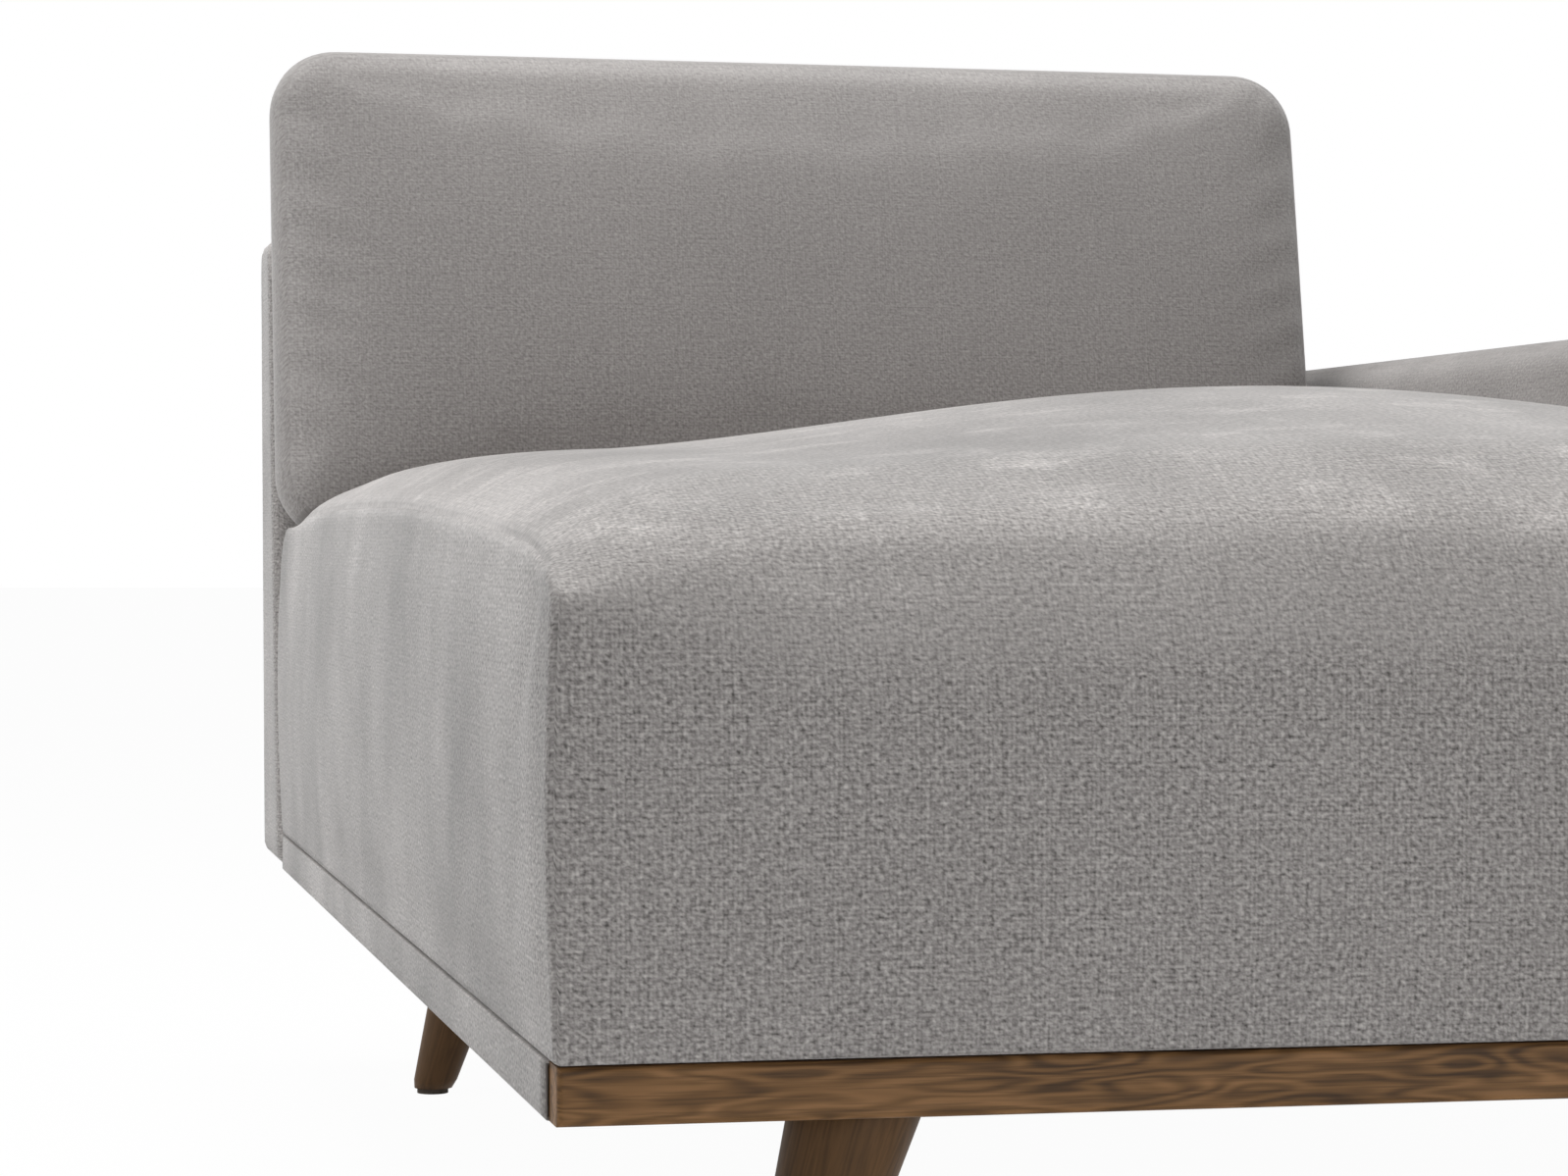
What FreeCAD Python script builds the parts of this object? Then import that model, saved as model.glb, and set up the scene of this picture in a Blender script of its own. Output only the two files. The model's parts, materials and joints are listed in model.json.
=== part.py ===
import FreeCAD, Part
import math
import os
import Sketcher

# Chaise end of a sectional sofa: a slim platform on four splayed legs, a leaning backrest, one arm on the
# right, a loose seat cushion and a loose back cushion. Millimetres, +Z up, the foot end faces -Y.
# The origin lies on the floor below the middle of the object.

Vector = FreeCAD.Vector
doc = FreeCAD.newDocument("sectional_chaise")

DIMENSIONS = {
    # overall
    "seat_width": 860,
    "arm_width": 115,
    "overall_depth": 1600,
    "platform_length": 1407,
    "leg_height": 168,
    "base_height": 27,
    "arm_top": 575,
    "arm_length": 870,
    "back_top": 675,
    # upholstery layers
    "fabric": 1.5,
    "slack": 0.5,
    "hem": 22,
    "dust_margin": 42,
    # platform frame
    "trim_depth": 24,
    "trim_round": 3,
    "trim_setback": 5,
    "side_rail": 60,
    "front_rail": 90,
    "rear_rail": 130,
    "rebate": 38,
    "tenon_length": 34,
    "tenon_thickness": 9,
    "tenon_margin": 16,
    "webbing": 1.5,
    "strap": 60,
    "cross_strap_count": 12,
    "long_strap_count": 7,
    "bearer_width": 40,
    "bearer_height": 15,
    "bearer_wall": 1.5,
    "bearer_entry": 20,
    "joint_fit": 0.05,
    # legs
    "leg_top_radius": 31.5,
    "leg_foot_radius": 15,
    "leg_splay": 16,
    "leg_inset": 154,
    "front_leg_setback": 75,
    "rear_leg_setback": 77,
    "glide_radius": 12,
    "glide_height": 4,
    "plate_size": 70,
    "plate_thickness": 3,
    "plate_clip": 10,
    "window_gap": 2,
    # fasteners
    "bolt_radius": 4,
    "bolt_fit": 0.15,
    "head_radius": 8,
    "head_height": 5.5,
    "head_room": 4,
    "leg_bolt_depth": 46,
    "leg_bolt_grip": 16,
    "insert_radius": 6,
    "insert_length": 16,
    "join_inset": 32,
    "join_spacing": 700,
    "arm_bolt_bite": 42,
    "arm_bolt_setback": 174,
    "arm_bolt_spacing": 365,
    "back_bolt_bite": 52,
    "back_bolt_spacing": 344,
    # backrest
    "back_gap": 2,
    "back_foot": 150,
    "back_front_run": 102,
    "back_rear_run": 32,
    "back_overhang": 5,
    "back_crest": 30,
    "back_hem_round": 16,
    "back_end_round": 14,
    "back_padding": 26,
    "back_wadding": 9,
    "back_end_padding": 27,
    "back_top_padding": 33,
    "post": 34,
    "back_rail": 58,
    "back_strap": 48,
    "back_strap_count": 5,
    "board": 3,
    # arm
    "arm_gap": 1,
    "arm_crest": 40,
    "arm_hem_round": 20,
    "arm_side_round": 18,
    "arm_padding": 17,
    "arm_end_padding": 28,
    "arm_top_padding": 30,
    "arm_rail": 56,
    # seat cushion
    "seat_gap": 2,
    "seat_rear_gap": 5,
    "seat_edge": 243,
    "seat_crown": 314,
    "seat_rear": 240,
    "seat_shoulder": 182,
    "seat_front_round": 130,
    "seat_rear_round": 90,
    "seat_hem_round": 14,
    "seat_drawn_in": 6,
    "core_margin": 60,
    "core_height": 140,
    # back cushion
    "cushion_bulge": 9,
    "cushion_width": 850,
    "cushion_height": 396,
    "cushion_thickness": 150,
    "cushion_corner": 52,
    "cushion_edge": 64,
    "cushion_rest": 3,
    "cushion_sink": 22,
    "filling_thickness": 60,
}

sheet = doc.addObject("Spreadsheet::Sheet", "Dim")
for row, (alias, number) in enumerate(DIMENSIONS.items(), start=1):
    sheet.set(f"A{row}", alias)
    sheet.set(f"B{row}", str(number))
    sheet.setAlias(f"B{row}", alias)
doc.recompute()


class Size:
    """A size that knows its number and the sheet expression that drives it."""

    def __init__(self, text, number):
        self.text = text
        self.number = number

    def __float__(self):
        return float(self.number)

    def __neg__(self):
        return Size(f"(-{self.text})", -self.number)

    def __add__(self, other):
        other = size(other)
        return Size(f"({self.text} + {other.text})", self.number + other.number)

    def __sub__(self, other):
        other = size(other)
        return Size(f"({self.text} - {other.text})", self.number - other.number)

    def __mul__(self, other):
        other = size(other)
        return Size(f"({self.text} * {other.text})", self.number * other.number)

    def __truediv__(self, other):
        other = size(other)
        return Size(f"({self.text} / {other.text})", self.number / other.number)

    def __rmul__(self, other):
        return size(other) * self


def size(value):
    return value if isinstance(value, Size) else Size(f"({value})", value)


class Sizes:
    """The sheet's cells, by alias."""

    def __getattr__(self, alias):
        return Size(f"Dim.{alias}", float(sheet.get(alias)))


dim = Sizes()
splay_slope = Size("tan(Dim.leg_splay)", math.tan(math.radians(float(dim.leg_splay))))
splay_cosine = Size("cos(Dim.leg_splay)", math.cos(math.radians(float(dim.leg_splay))))

# Planes that the pieces share
left_x = dim.cushion_bulge - (dim.cushion_bulge + dim.seat_width + dim.arm_width) / 2
arm_x = left_x + dim.seat_width
right_x = arm_x + dim.arm_width
middle_x = (left_x + arm_x) / 2
front_y = dim.trim_setback - dim.overall_depth / 2
rail_y = front_y + dim.trim_depth
rear_y = front_y + dim.platform_length
low_z = dim.leg_height
deck_z = low_z + dim.base_height
rail_low = low_z + dim.fabric
rail_top = deck_z - dim.fabric
strap_z = rail_top - 2 * dim.webbing
bolt_z = (rail_low + strap_z) / 2
left_inner = left_x + dim.fabric + dim.side_rail
right_inner = arm_x - dim.fabric - dim.side_rail
front_inner = rail_y + dim.front_rail
rear_inner = rear_y - dim.rear_rail
leg_xs = (left_x + dim.leg_inset, arm_x - dim.leg_inset)
leg_ys = (front_y + dim.front_leg_setback, rear_y - dim.rear_leg_setback)
leg_spots = [(x, y) for y in leg_ys for x in leg_xs]
leg_top = rail_low - dim.plate_thickness
pieces = {}


def bind(thing, **sizes):
    for name, value in sizes.items():
        thing.setExpression(name.replace("_", "."), size(value).text)


def place(thing, corner):
    for axis, value in zip("xyz", corner):
        thing.setExpression(f"Placement.Base.{axis}", size(value).text)


def keep(label, thing):
    thing.Label = label
    pieces[label] = thing


def block(name, corner, opposite):
    """A board between two opposite corners."""
    box = doc.addObject("Part::Box", name)
    pairs = [sorted((size(a), size(b)), key=float) for a, b in zip(corner, opposite)]
    for side, (low, high) in zip(("Length", "Width", "Height"), pairs):
        box.setExpression(side, (high - low).text)
    place(box, [low for low, high in pairs])
    return box


AXES = {"x": (Vector(0, 1, 0), 90), "y": (Vector(1, 0, 0), -90), "z": (Vector(0, 0, 1), 0)}


def rod(name, start, axis, radius, length):
    """A round bar from its start along one of the three axes."""
    bar = doc.addObject("Part::Cylinder", name)
    bar.Placement = FreeCAD.Placement(Vector(), FreeCAD.Rotation(*AXES[axis]))
    bind(bar, Radius=radius, Height=length)
    place(bar, start)
    return bar


def group(name, things):
    """Pieces that share a node."""
    compound = doc.addObject("Part::Compound", name)
    compound.Links = things
    return compound


def cut(name, base, tools):
    """The base without the tools."""
    result = doc.addObject("Part::Cut", name)
    result.Base = base
    result.Tool = tools[0] if len(tools) == 1 else group(f"{name}_tools", tools)
    return result


def fuse(name, things):
    result = doc.addObject("Part::MultiFuse", name)
    result.Shapes = things
    return result


def sketch(body, role, outline):
    """A closed outline of straight sides, each corner held by two sheet expressions."""
    plane = [part for part in body.Origin.OriginFeatures if part.Role == role][0]
    drawing = body.newObject("Sketcher::SketchObject", f"{body.Name}_outline")
    drawing.AttachmentSupport = [(plane, "")]
    drawing.MapMode = "FlatFace"
    corners = [(size(u), size(v)) for u, v in outline]
    count = len(corners)
    for i, start in enumerate(corners):
        end = corners[(i + 1) % count]
        ends = [Vector(float(u), float(v), 0) for u, v in (start, end)]
        drawing.addGeometry(Part.LineSegment(*ends))
    for i in range(count):
        drawing.addConstraint(Sketcher.Constraint("Coincident", i, 2, (i + 1) % count, 1))
    for i, corner in enumerate(corners):
        for kind, value in zip(("DistanceX", "DistanceY"), corner):
            held = Sketcher.Constraint(kind, -1, 1, i, 1, float(value))
            number = drawing.addConstraint(held)
            drawing.setExpression(f"Constraints[{number}]", value.text)
    return drawing


def padded(name, role, outline, depth):
    """A body with one pad over an outline on one of its own planes."""
    body = doc.addObject("PartDesign::Body", name)
    pad = body.newObject("PartDesign::Pad", f"{name}_pad")
    pad.Profile = sketch(body, role, outline)
    bind(pad, Length=depth)
    return body


def slab(name, outline, x_low, x_high):
    """A body with a side outline in Y and Z, padded across X."""
    body = padded(name, "YZ_Plane", outline, x_high - x_low)
    bind(body, Placement_Base_x=x_low)
    return body


def spread(low, high, width, count):
    """Lower edges of like strips spaced evenly between two lines."""
    gap = (high - low - width * count) / (count + 1)
    return [low + gap * (i + 1) + width * i for i in range(int(float(count)))]


# Trim bar across the foot end, its front edges eased

trim_outline = [(front_y, low_z), (rail_y, low_z), (rail_y, deck_z), (front_y, deck_z)]
trim = slab("trim_bar", trim_outline, left_x, arm_x)
doc.recompute()
trim_pad = trim.Tip
eased = []
for number, edge in enumerate(trim_pad.Shape.Edges, start=1):
    if edge.CenterOfMass.y < float(front_y + dim.trim_round):
        eased.append(f"Edge{number}")
easing = trim.newObject("PartDesign::Fillet", "trim_easing")
easing.Base = (trim_pad, eased)
bind(easing, Radius=dim.trim_round)
keep("front_trim", trim)

# Lines of the leaning backrest: its front leans back more than its rear, so that it thins towards the crest

back_rise = dim.back_top - low_z
back_front_y = rear_y + dim.back_gap
back_rear_y = back_front_y + dim.back_foot


def back_front(z, inset):
    return back_front_y + (z - low_z) * dim.back_front_run / back_rise + inset


def back_rear(z, inset):
    return back_rear_y + (z - low_z) * dim.back_rear_run / back_rise - inset


# Cap bolts: the backrest's run back from the rear rail, the arm's run out from the right rail

arm_inner = arm_x + dim.arm_gap
arm_rear_y = dim.overall_depth / 2
arm_front_y = arm_rear_y - dim.arm_length
arm_rail_x = (arm_inner + dim.arm_padding + dim.board, right_x - dim.arm_padding - dim.board)
arm_bolt_tip = arm_x - dim.arm_bolt_bite
arm_bolt_ys = [arm_front_y + dim.arm_bolt_setback + dim.arm_bolt_spacing * number for number in range(2)]
low_rail_rear = dim.back_padding + dim.webbing + dim.post
back_bolt_tip = rear_y - dim.back_bolt_bite
back_bolt_xs = [middle_x + dim.back_bolt_spacing / 2 * side for side in (-1, 1)]


def cap_bolts(name, axis, places, tip, rail_face, shank_gain, head_gain, room):
    """Bolts from the tip of the shank to a head sunk into the far face of the rail."""
    seat = rail_face - dim.head_height - dim.slack
    bolts = []
    for number, across in enumerate(places):
        starts = [(along, across) if axis == "x" else (across, along) for along in (tip, seat)]
        shank_radius = dim.bolt_radius + shank_gain
        head_radius = dim.head_radius + head_gain
        shank = rod(f"{name}_shank_{number}", (*starts[0], bolt_z), axis, shank_radius, seat - tip)
        head = rod(f"{name}_head_{number}", (*starts[1], bolt_z), axis, head_radius, dim.head_height + room)
        bolts.append(fuse(f"{name}_{number}", [shank, head]))
    return bolts


back_bolt = ("y", back_bolt_xs, back_bolt_tip, back_front(bolt_z, low_rail_rear))
arm_bolt = ("x", arm_bolt_ys, arm_bolt_tip, arm_rail_x[1])
bolt_gains = (0, 0, 0)
hole_gains = (dim.bolt_fit, dim.slack, dim.head_room)
keep("back_bolts", group("back_bolts", cap_bolts("back_bolt", *back_bolt, *bolt_gains)))
keep("arm_bolts", group("arm_bolts", cap_bolts("arm_bolt", *arm_bolt, *bolt_gains)))
back_bolt_holes = cap_bolts("back_bolt_hole", *back_bolt, *hole_gains)
arm_bolt_holes = cap_bolts("arm_bolt_hole", *arm_bolt, *hole_gains)

# Threaded inserts under the open left rail, for the bolts of the brackets that join the next module

join_x = left_x + dim.join_inset
platform_y = (front_y + rear_y) / 2
join_ys = [platform_y + dim.join_spacing / 2 * side for side in (-1, 1)]
join_inserts = []
join_holes = []
for number, y in enumerate(join_ys):
    start = (join_x, y, rail_low)
    wall = rod(f"insert_wall_{number}", start, "z", dim.insert_radius, dim.insert_length)
    bore = rod(f"insert_bore_{number}", start, "z", dim.bolt_radius, dim.insert_length)
    join_inserts.append(cut(f"insert_{number}", wall, [bore]))
    hole_radius = dim.insert_radius + dim.joint_fit
    join_holes.append(rod(f"insert_hole_{number}", start, "z", hole_radius, dim.insert_length + dim.slack))
keep("joining_inserts", group("joining_inserts", join_inserts))

# Platform frame: end rails tenoned into the side rails, rebated inside for the webbing

leg_bolt_holes = []
for number, (x, y) in enumerate(leg_spots):
    radius = dim.bolt_radius + dim.bolt_fit
    leg_bolt_holes.append(rod(f"rail_bolt_hole_{number}", (x, y, rail_low), "z", radius, dim.leg_bolt_grip))

bearers = []
bearer_notches = []
for number, x in enumerate(leg_xs):
    half = dim.bearer_width / 2
    ends = (front_inner - dim.bearer_entry, rear_inner + dim.bearer_entry)
    top = rail_low + dim.bearer_height
    outside = block(f"bearer_outside_{number}", (x - half, ends[0], rail_low), (x + half, ends[1], top))
    wall = dim.bearer_wall
    hollow_low = (x - half + wall, ends[0], rail_low + wall)
    hollow = block(f"bearer_hollow_{number}", hollow_low, (x + half - wall, ends[1], top - wall))
    bearers.append(cut(f"bearer_{number}", outside, [hollow]))
    fit = dim.joint_fit
    notch_low = (x - half - fit, ends[0] - fit, rail_low)
    notch_high = (x + half + fit, ends[1] + fit, top + fit)
    bearer_notches.append(block(f"bearer_notch_{number}", notch_low, notch_high))
keep("bearer_tubes", group("bearer_tubes", bearers))


def tenon(name, y_low, y_high, shoulder_x, outwards, fit):
    """A flat tongue that leaves the end rail's shoulder towards the side rail."""
    half = dim.tenon_thickness / 2 + fit
    low = (shoulder_x, y_low + dim.tenon_margin - fit, bolt_z - half)
    high_x = shoulder_x + outwards * (dim.tenon_length + fit)
    return block(name, low, (high_x, y_high - dim.tenon_margin + fit, bolt_z + half))


end_spans = {"front": (rail_y, front_inner), "rear": (rear_inner, rear_y)}
shoulders = {"left": (left_inner, -1), "right": (right_inner, 1)}


def end_rail(name, outer, inner, holes):
    blank = block(f"{name}_blank", (left_inner, outer, rail_low), (right_inner, inner, rail_top))
    inwards = 1 if float(inner) > float(outer) else -1
    ledge = inner - inwards * dim.rebate
    rebate = block(f"{name}_rebate", (left_inner, ledge, strap_z), (right_inner, inner, rail_top))
    low, high = sorted((outer, inner), key=float)
    bars = [cut(f"{name}_board", blank, [rebate] + holes)]
    for side, (shoulder_x, outwards) in shoulders.items():
        bars.append(tenon(f"{name}_{side}_tenon", low, high, shoulder_x, outwards, 0))
    return fuse(name, bars)


def side_rail(name, side, outer, inner, holes):
    blank = block(f"{name}_blank", (outer, rail_y, rail_low), (inner, rear_y, rail_top))
    inwards = 1 if float(inner) > float(outer) else -1
    ledge = inner - inwards * dim.rebate
    cuts = [block(f"{name}_rebate", (ledge, rail_y, strap_z), (inner, rear_y, rail_top))]
    for end, (low, high) in end_spans.items():
        cuts.append(tenon(f"{name}_{end}_mortise", low, high, *shoulders[side], dim.joint_fit))
    return cut(name, blank, cuts + holes)


seats = bearer_notches + leg_bolt_holes
keep("front_frame_rail", end_rail("front_frame_rail", rail_y, front_inner, seats))
keep("rear_frame_rail", end_rail("rear_frame_rail", rear_y, rear_inner, seats + back_bolt_holes))
keep("left_side_rail", side_rail("left_side_rail", "left", left_x + dim.fabric, left_inner, join_holes))
keep("right_side_rail", side_rail("right_side_rail", "right", arm_x - dim.fabric, right_inner, arm_bolt_holes))

# Webbing in the rebates, deck cloth over it, dust cover under the frame

cross_straps = []
for number, y in enumerate(spread(front_inner, rear_inner, dim.strap, dim.cross_strap_count)):
    low = (left_inner - dim.rebate, y, strap_z)
    high = (right_inner + dim.rebate, y + dim.strap, strap_z + dim.webbing)
    cross_straps.append(block(f"cross_strap_{number}", low, high))
keep("webbing_cross", group("webbing_cross", cross_straps))
long_straps = []
for number, x in enumerate(spread(left_inner, right_inner, dim.strap, dim.long_strap_count)):
    low = (x, front_inner - dim.rebate, strap_z + dim.webbing)
    high = (x + dim.strap, rear_inner + dim.rebate, rail_top)
    long_straps.append(block(f"long_strap_{number}", low, high))
keep("webbing_long", group("webbing_long", long_straps))

cloth_left = left_x + dim.hem + dim.slack
cloth_right = arm_x - dim.hem - dim.slack
keep("deck_cloth", block("deck_cloth", (cloth_left, rail_y, rail_top), (cloth_right, rear_y, deck_z)))
dust_left = left_x + dim.dust_margin
dust_right = arm_x - dim.dust_margin
dust_sheet = block("dust_sheet", (dust_left, rail_y, low_z), (dust_right, rear_y, rail_low))
windows = []
for number, (x, y) in enumerate(leg_spots):
    half = dim.plate_size / 2 + dim.window_gap
    windows.append(block(f"dust_window_{number}", (x - half, y - half, low_z), (x + half, y + half, rail_low)))
keep("dust_cover", cut("dust_cover", dust_sheet, windows))


def rail_cover(name, outer, inwards, holes):
    """Fabric folded over a side rail: a strip above, the outside and a strip below."""
    hem_edge = outer + inwards * dim.hem
    wall = outer + inwards * dim.fabric
    folded = block(f"{name}_folded", (outer, rail_y, low_z), (hem_edge, rear_y, deck_z))
    inside = block(f"{name}_inside", (wall, rail_y, rail_low), (hem_edge, rear_y, rail_top))
    return cut(name, folded, [inside] + holes)


keep("left_rail_cover", rail_cover("left_rail_cover", left_x, 1, []))
keep("right_rail_cover", rail_cover("right_rail_cover", arm_x, -1, arm_bolt_holes))

# Legs: a turned taper that leans outwards, cut level under its plate and above its glide

leg_run = leg_top * splay_slope
leg_length = leg_top / splay_cosine
taper = (dim.leg_top_radius - dim.leg_foot_radius) / leg_length
spare = dim.leg_top_radius
legs = {"left": [], "right": []}
glides = []
plates = []
leg_bolts = []


def turned_leg(name, x, y, lean):
    """The taper runs past both level cuts by the spare length; lean is +1 where the top is to the right."""
    foot_x = x - lean * leg_run
    cone = doc.addObject("Part::Cone", f"{name}_taper")
    cone.Placement = FreeCAD.Placement(Vector(), FreeCAD.Rotation(Vector(0, lean, 0), float(dim.leg_splay)))
    bind(
        cone,
        Radius1=dim.leg_foot_radius - taper * spare,
        Radius2=dim.leg_top_radius + taper * spare,
        Height=leg_length + 2 * spare,
        Placement_Rotation_Angle=dim.leg_splay,
    )
    place(cone, (foot_x - lean * spare * splay_slope * splay_cosine, y, -spare * splay_cosine))
    room_low = (x - dim.leg_inset, y - 2 * spare, dim.glide_height)
    level = doc.addObject("Part::Common", f"{name}_level")
    level.Base = cone
    level.Tool = block(f"{name}_room", room_low, (x + dim.leg_inset, y + 2 * spare, leg_top))
    start = (x, y, leg_top - dim.leg_bolt_depth)
    hole = rod(f"{name}_hole", start, "z", dim.bolt_radius + dim.bolt_fit, dim.leg_bolt_depth)
    bolt_length = dim.leg_bolt_depth + dim.plate_thickness + dim.leg_bolt_grip
    leg_bolts.append(rod(f"{name}_bolt", start, "z", dim.bolt_radius, bolt_length))
    foot = (foot_x + lean * dim.glide_height * splay_slope, y, 0)
    glides.append(rod(f"{name}_glide", foot, "z", dim.glide_radius, dim.glide_height))
    return cut(name, level, [hole])


def leg_plate(name, x, y):
    """A square plate with clipped corners and a hole for the hanger bolt."""
    half = dim.plate_size / 2
    clip = half - dim.plate_clip
    outline = [(-half, -clip), (-clip, -half), (clip, -half), (half, -clip)]
    outline += [(half, clip), (clip, half), (-clip, half), (-half, clip)]
    body = padded(f"{name}_blank", "XY_Plane", outline, dim.plate_thickness)
    place(body, (x, y, leg_top))
    hole = rod(f"{name}_hole", (x, y, leg_top), "z", dim.bolt_radius + dim.bolt_fit, dim.plate_thickness)
    return cut(name, body, [hole])


for end, y in zip(("front", "rear"), leg_ys):
    for side, x, lean in zip(("left", "right"), leg_xs, (1, -1)):
        legs[side].append(turned_leg(f"{end}_{side}_leg", x, y, lean))
        plates.append(leg_plate(f"{end}_{side}_plate", x, y))
for side, pair in legs.items():
    keep(f"legs_{side}", group(f"legs_{side}", pair))
keep("leg_glides", group("leg_glides", glides))
keep("leg_plates", group("leg_plates", plates))
keep("leg_bolts", group("leg_bolts", leg_bolts))

# Upholstered forms: ruled lofts across X through outlines of lines and arcs, rounded at both ends

END_TURNS = 2


def arc(start, middle, end):
    return Part.Arc(start, middle, end).toShape()


def line(start, end):
    return Part.LineSegment(start, end).toShape()


def rounded_outline(x, corners, radii):
    """A closed wire in the plane at x whose corners are turned with arcs."""
    points = [Vector(x, y, z) for y, z in corners]
    turns = []
    for i, corner in enumerate(points):
        before = (points[i - 1] - corner).normalize()
        after = (points[(i + 1) % len(points)] - corner).normalize()
        half_angle = before.getAngle(after) / 2
        reach = radii[i] / math.tan(half_angle)
        centre = corner + (before + after).normalize() * (radii[i] / math.sin(half_angle))
        middle = centre + (corner - centre).normalize() * radii[i]
        turns.append((corner + before * reach, middle, corner + after * reach))
    edges = []
    for i, (start, middle, end) in enumerate(turns):
        edges.append(arc(start, middle, end))
        edges.append(line(end, turns[(i + 1) % len(turns)][0]))
    return Part.Wire(edges)


def soft_slab(name, x_low, x_high, outline, radii, end_round):
    """The outline is a function of inset, which grows towards both ends as a quarter circle does."""
    quarter = [math.pi / 2 * number / END_TURNS for number in range(END_TURNS + 1)]
    rows = [(end_round * (1 - math.cos(turn)), end_round * (1 - math.sin(turn))) for turn in quarter]
    stations = [(x_low + step, inset) for step, inset in rows]
    stations += [(x_high - step, inset) for step, inset in reversed(rows)]
    wires = []
    for x, inset in stations:
        wires.append(rounded_outline(x, outline(inset), [radius - inset for radius in radii]))
    form = doc.addObject("Part::Feature", name)
    form.Shape = Part.makeLoft(wires, True, True)
    return form


# Backrest: a padded slab round a frame of leaning boards

back_left = left_x - dim.back_overhang
back_right = arm_x - dim.arm_gap


def leaning(name, x_low, x_high, z_low, z_high, front, rear):
    """A board between two leaning lines, each a line function with an inset."""
    outline = [(front[0](z, front[1]), z) for z in (z_high, z_low)]
    outline += [(rear[0](z, rear[1]), z) for z in (z_low, z_high)]
    return slab(name, outline, x_low, x_high)


def back_outline(inset):
    low = low_z + inset
    high = dim.back_top - inset
    corners = [(back_front(low, inset), low), (back_rear(low, inset), low)]
    corners += [(back_rear(high, inset), high), (back_front(high, inset), high)]
    return [(float(y), float(z)) for y, z in corners]


zone_left = back_left + dim.back_end_padding
zone_right = back_right - dim.back_end_padding
zone_top = dim.back_top - dim.back_top_padding
zone_front = (back_front, dim.back_padding)
zone_rear = (back_rear, dim.back_wadding)
back_room = leaning("back_frame_room", zone_left, zone_right, low_z, zone_top, zone_front, zone_rear)
back_radii = [float(dim.back_hem_round)] * 2 + [float(dim.back_crest)] * 2
back_ends = (float(back_left), float(back_right))
back_form = soft_slab("back_form", *back_ends, back_outline, back_radii, float(dim.back_end_round))
keep("back_upholstery", cut("back_upholstery", back_form, [back_room] + back_bolt_holes))

frame_front = (back_front, dim.back_padding + dim.webbing)
frame_rear = (back_rear, dim.back_wadding + dim.board)
frame_low = rail_low + dim.fabric
frame_high = zone_top - dim.slack
post_left = zone_left + dim.slack
post_right = zone_right - dim.slack
rail_left = post_left + dim.post
rail_right = post_right - dim.post
low_rail_top = frame_low + dim.back_rail
top_rail_low = frame_high - dim.back_rail
back_boards = {
    "back_left_post": (post_left, rail_left, frame_low, frame_high),
    "back_right_post": (rail_right, post_right, frame_low, frame_high),
    "back_centre_post": (middle_x - dim.post / 2, middle_x + dim.post / 2, low_rail_top, top_rail_low),
    "back_top_rail": (rail_left, rail_right, top_rail_low, frame_high),
}
for name, ends in back_boards.items():
    keep(name, leaning(f"{name}_board", *ends, frame_front, frame_rear))
low_span = (rail_left, rail_right, frame_low, low_rail_top)
low_board = leaning("back_low_board", *low_span, frame_front, (back_front, low_rail_rear))
keep("back_bottom_rail", cut("back_bottom_rail", low_board, back_bolt_holes))
keep("back_panel", leaning("back_board", post_left, post_right, frame_low, frame_high, frame_rear, zone_rear))
back_straps = []
for number, z in enumerate(spread(low_rail_top, top_rail_low, dim.back_strap, dim.back_strap_count)):
    rows = (z, z + dim.back_strap)
    strap_rear = (back_front, dim.back_padding + dim.webbing)
    back_straps.append(leaning(f"back_strap_{number}", post_left, post_right, *rows, zone_front, strap_rear))
keep("back_webbing", group("back_webbing", back_straps))

# Arm: a slim upright slab with a soft crest


def arm_outline(inset):
    low = low_z + inset
    high = dim.arm_top - inset
    front = arm_front_y + inset
    rear = arm_rear_y - inset
    return [(float(y), float(z)) for y, z in ((front, low), (rear, low), (rear, high), (front, high))]


room_x = (arm_inner + dim.arm_padding, right_x - dim.arm_padding)
room_y = (arm_front_y + dim.arm_end_padding, arm_rear_y - dim.arm_end_padding)
room_top = dim.arm_top - dim.arm_top_padding
arm_room = block("arm_frame_room", (room_x[0], room_y[0], low_z), (room_x[1], room_y[1], room_top))
arm_radii = [float(dim.arm_hem_round)] * 2 + [float(dim.arm_crest)] * 2
arm_ends = (float(arm_inner), float(right_x))
arm_form = soft_slab("arm_form", *arm_ends, arm_outline, arm_radii, float(dim.arm_side_round))
keep("arm_upholstery", cut("arm_upholstery", arm_form, [arm_room] + arm_bolt_holes))

board_y = (room_y[0] + dim.slack, room_y[1] - dim.slack)
between_y = (board_y[0] + dim.post, board_y[1] - dim.post)
arm_high = room_top - dim.slack
arm_low_top = frame_low + dim.arm_rail
arm_boards = {
    "arm_front_post": (arm_rail_x, (board_y[0], between_y[0]), (frame_low, arm_high)),
    "arm_rear_post": (arm_rail_x, (between_y[1], board_y[1]), (frame_low, arm_high)),
    "arm_top_rail": (arm_rail_x, between_y, (arm_high - dim.post, arm_high)),
    "arm_outer_panel": ((arm_rail_x[1], room_x[1]), board_y, (frame_low, arm_high)),
}
bolted_boards = {
    "arm_bottom_rail": (arm_rail_x, between_y, (frame_low, arm_low_top)),
    "arm_inner_panel": ((room_x[0], arm_rail_x[0]), board_y, (frame_low, arm_high)),
}
for name, spans in arm_boards.items():
    keep(name, block(name, *zip(*spans)))
for name, spans in bolted_boards.items():
    keep(name, cut(name, block(f"{name}_board", *zip(*spans)), arm_bolt_holes))

# Cushions: ruled lofts through slices across the width, crowned in the middle and drawn in at the seams

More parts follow.
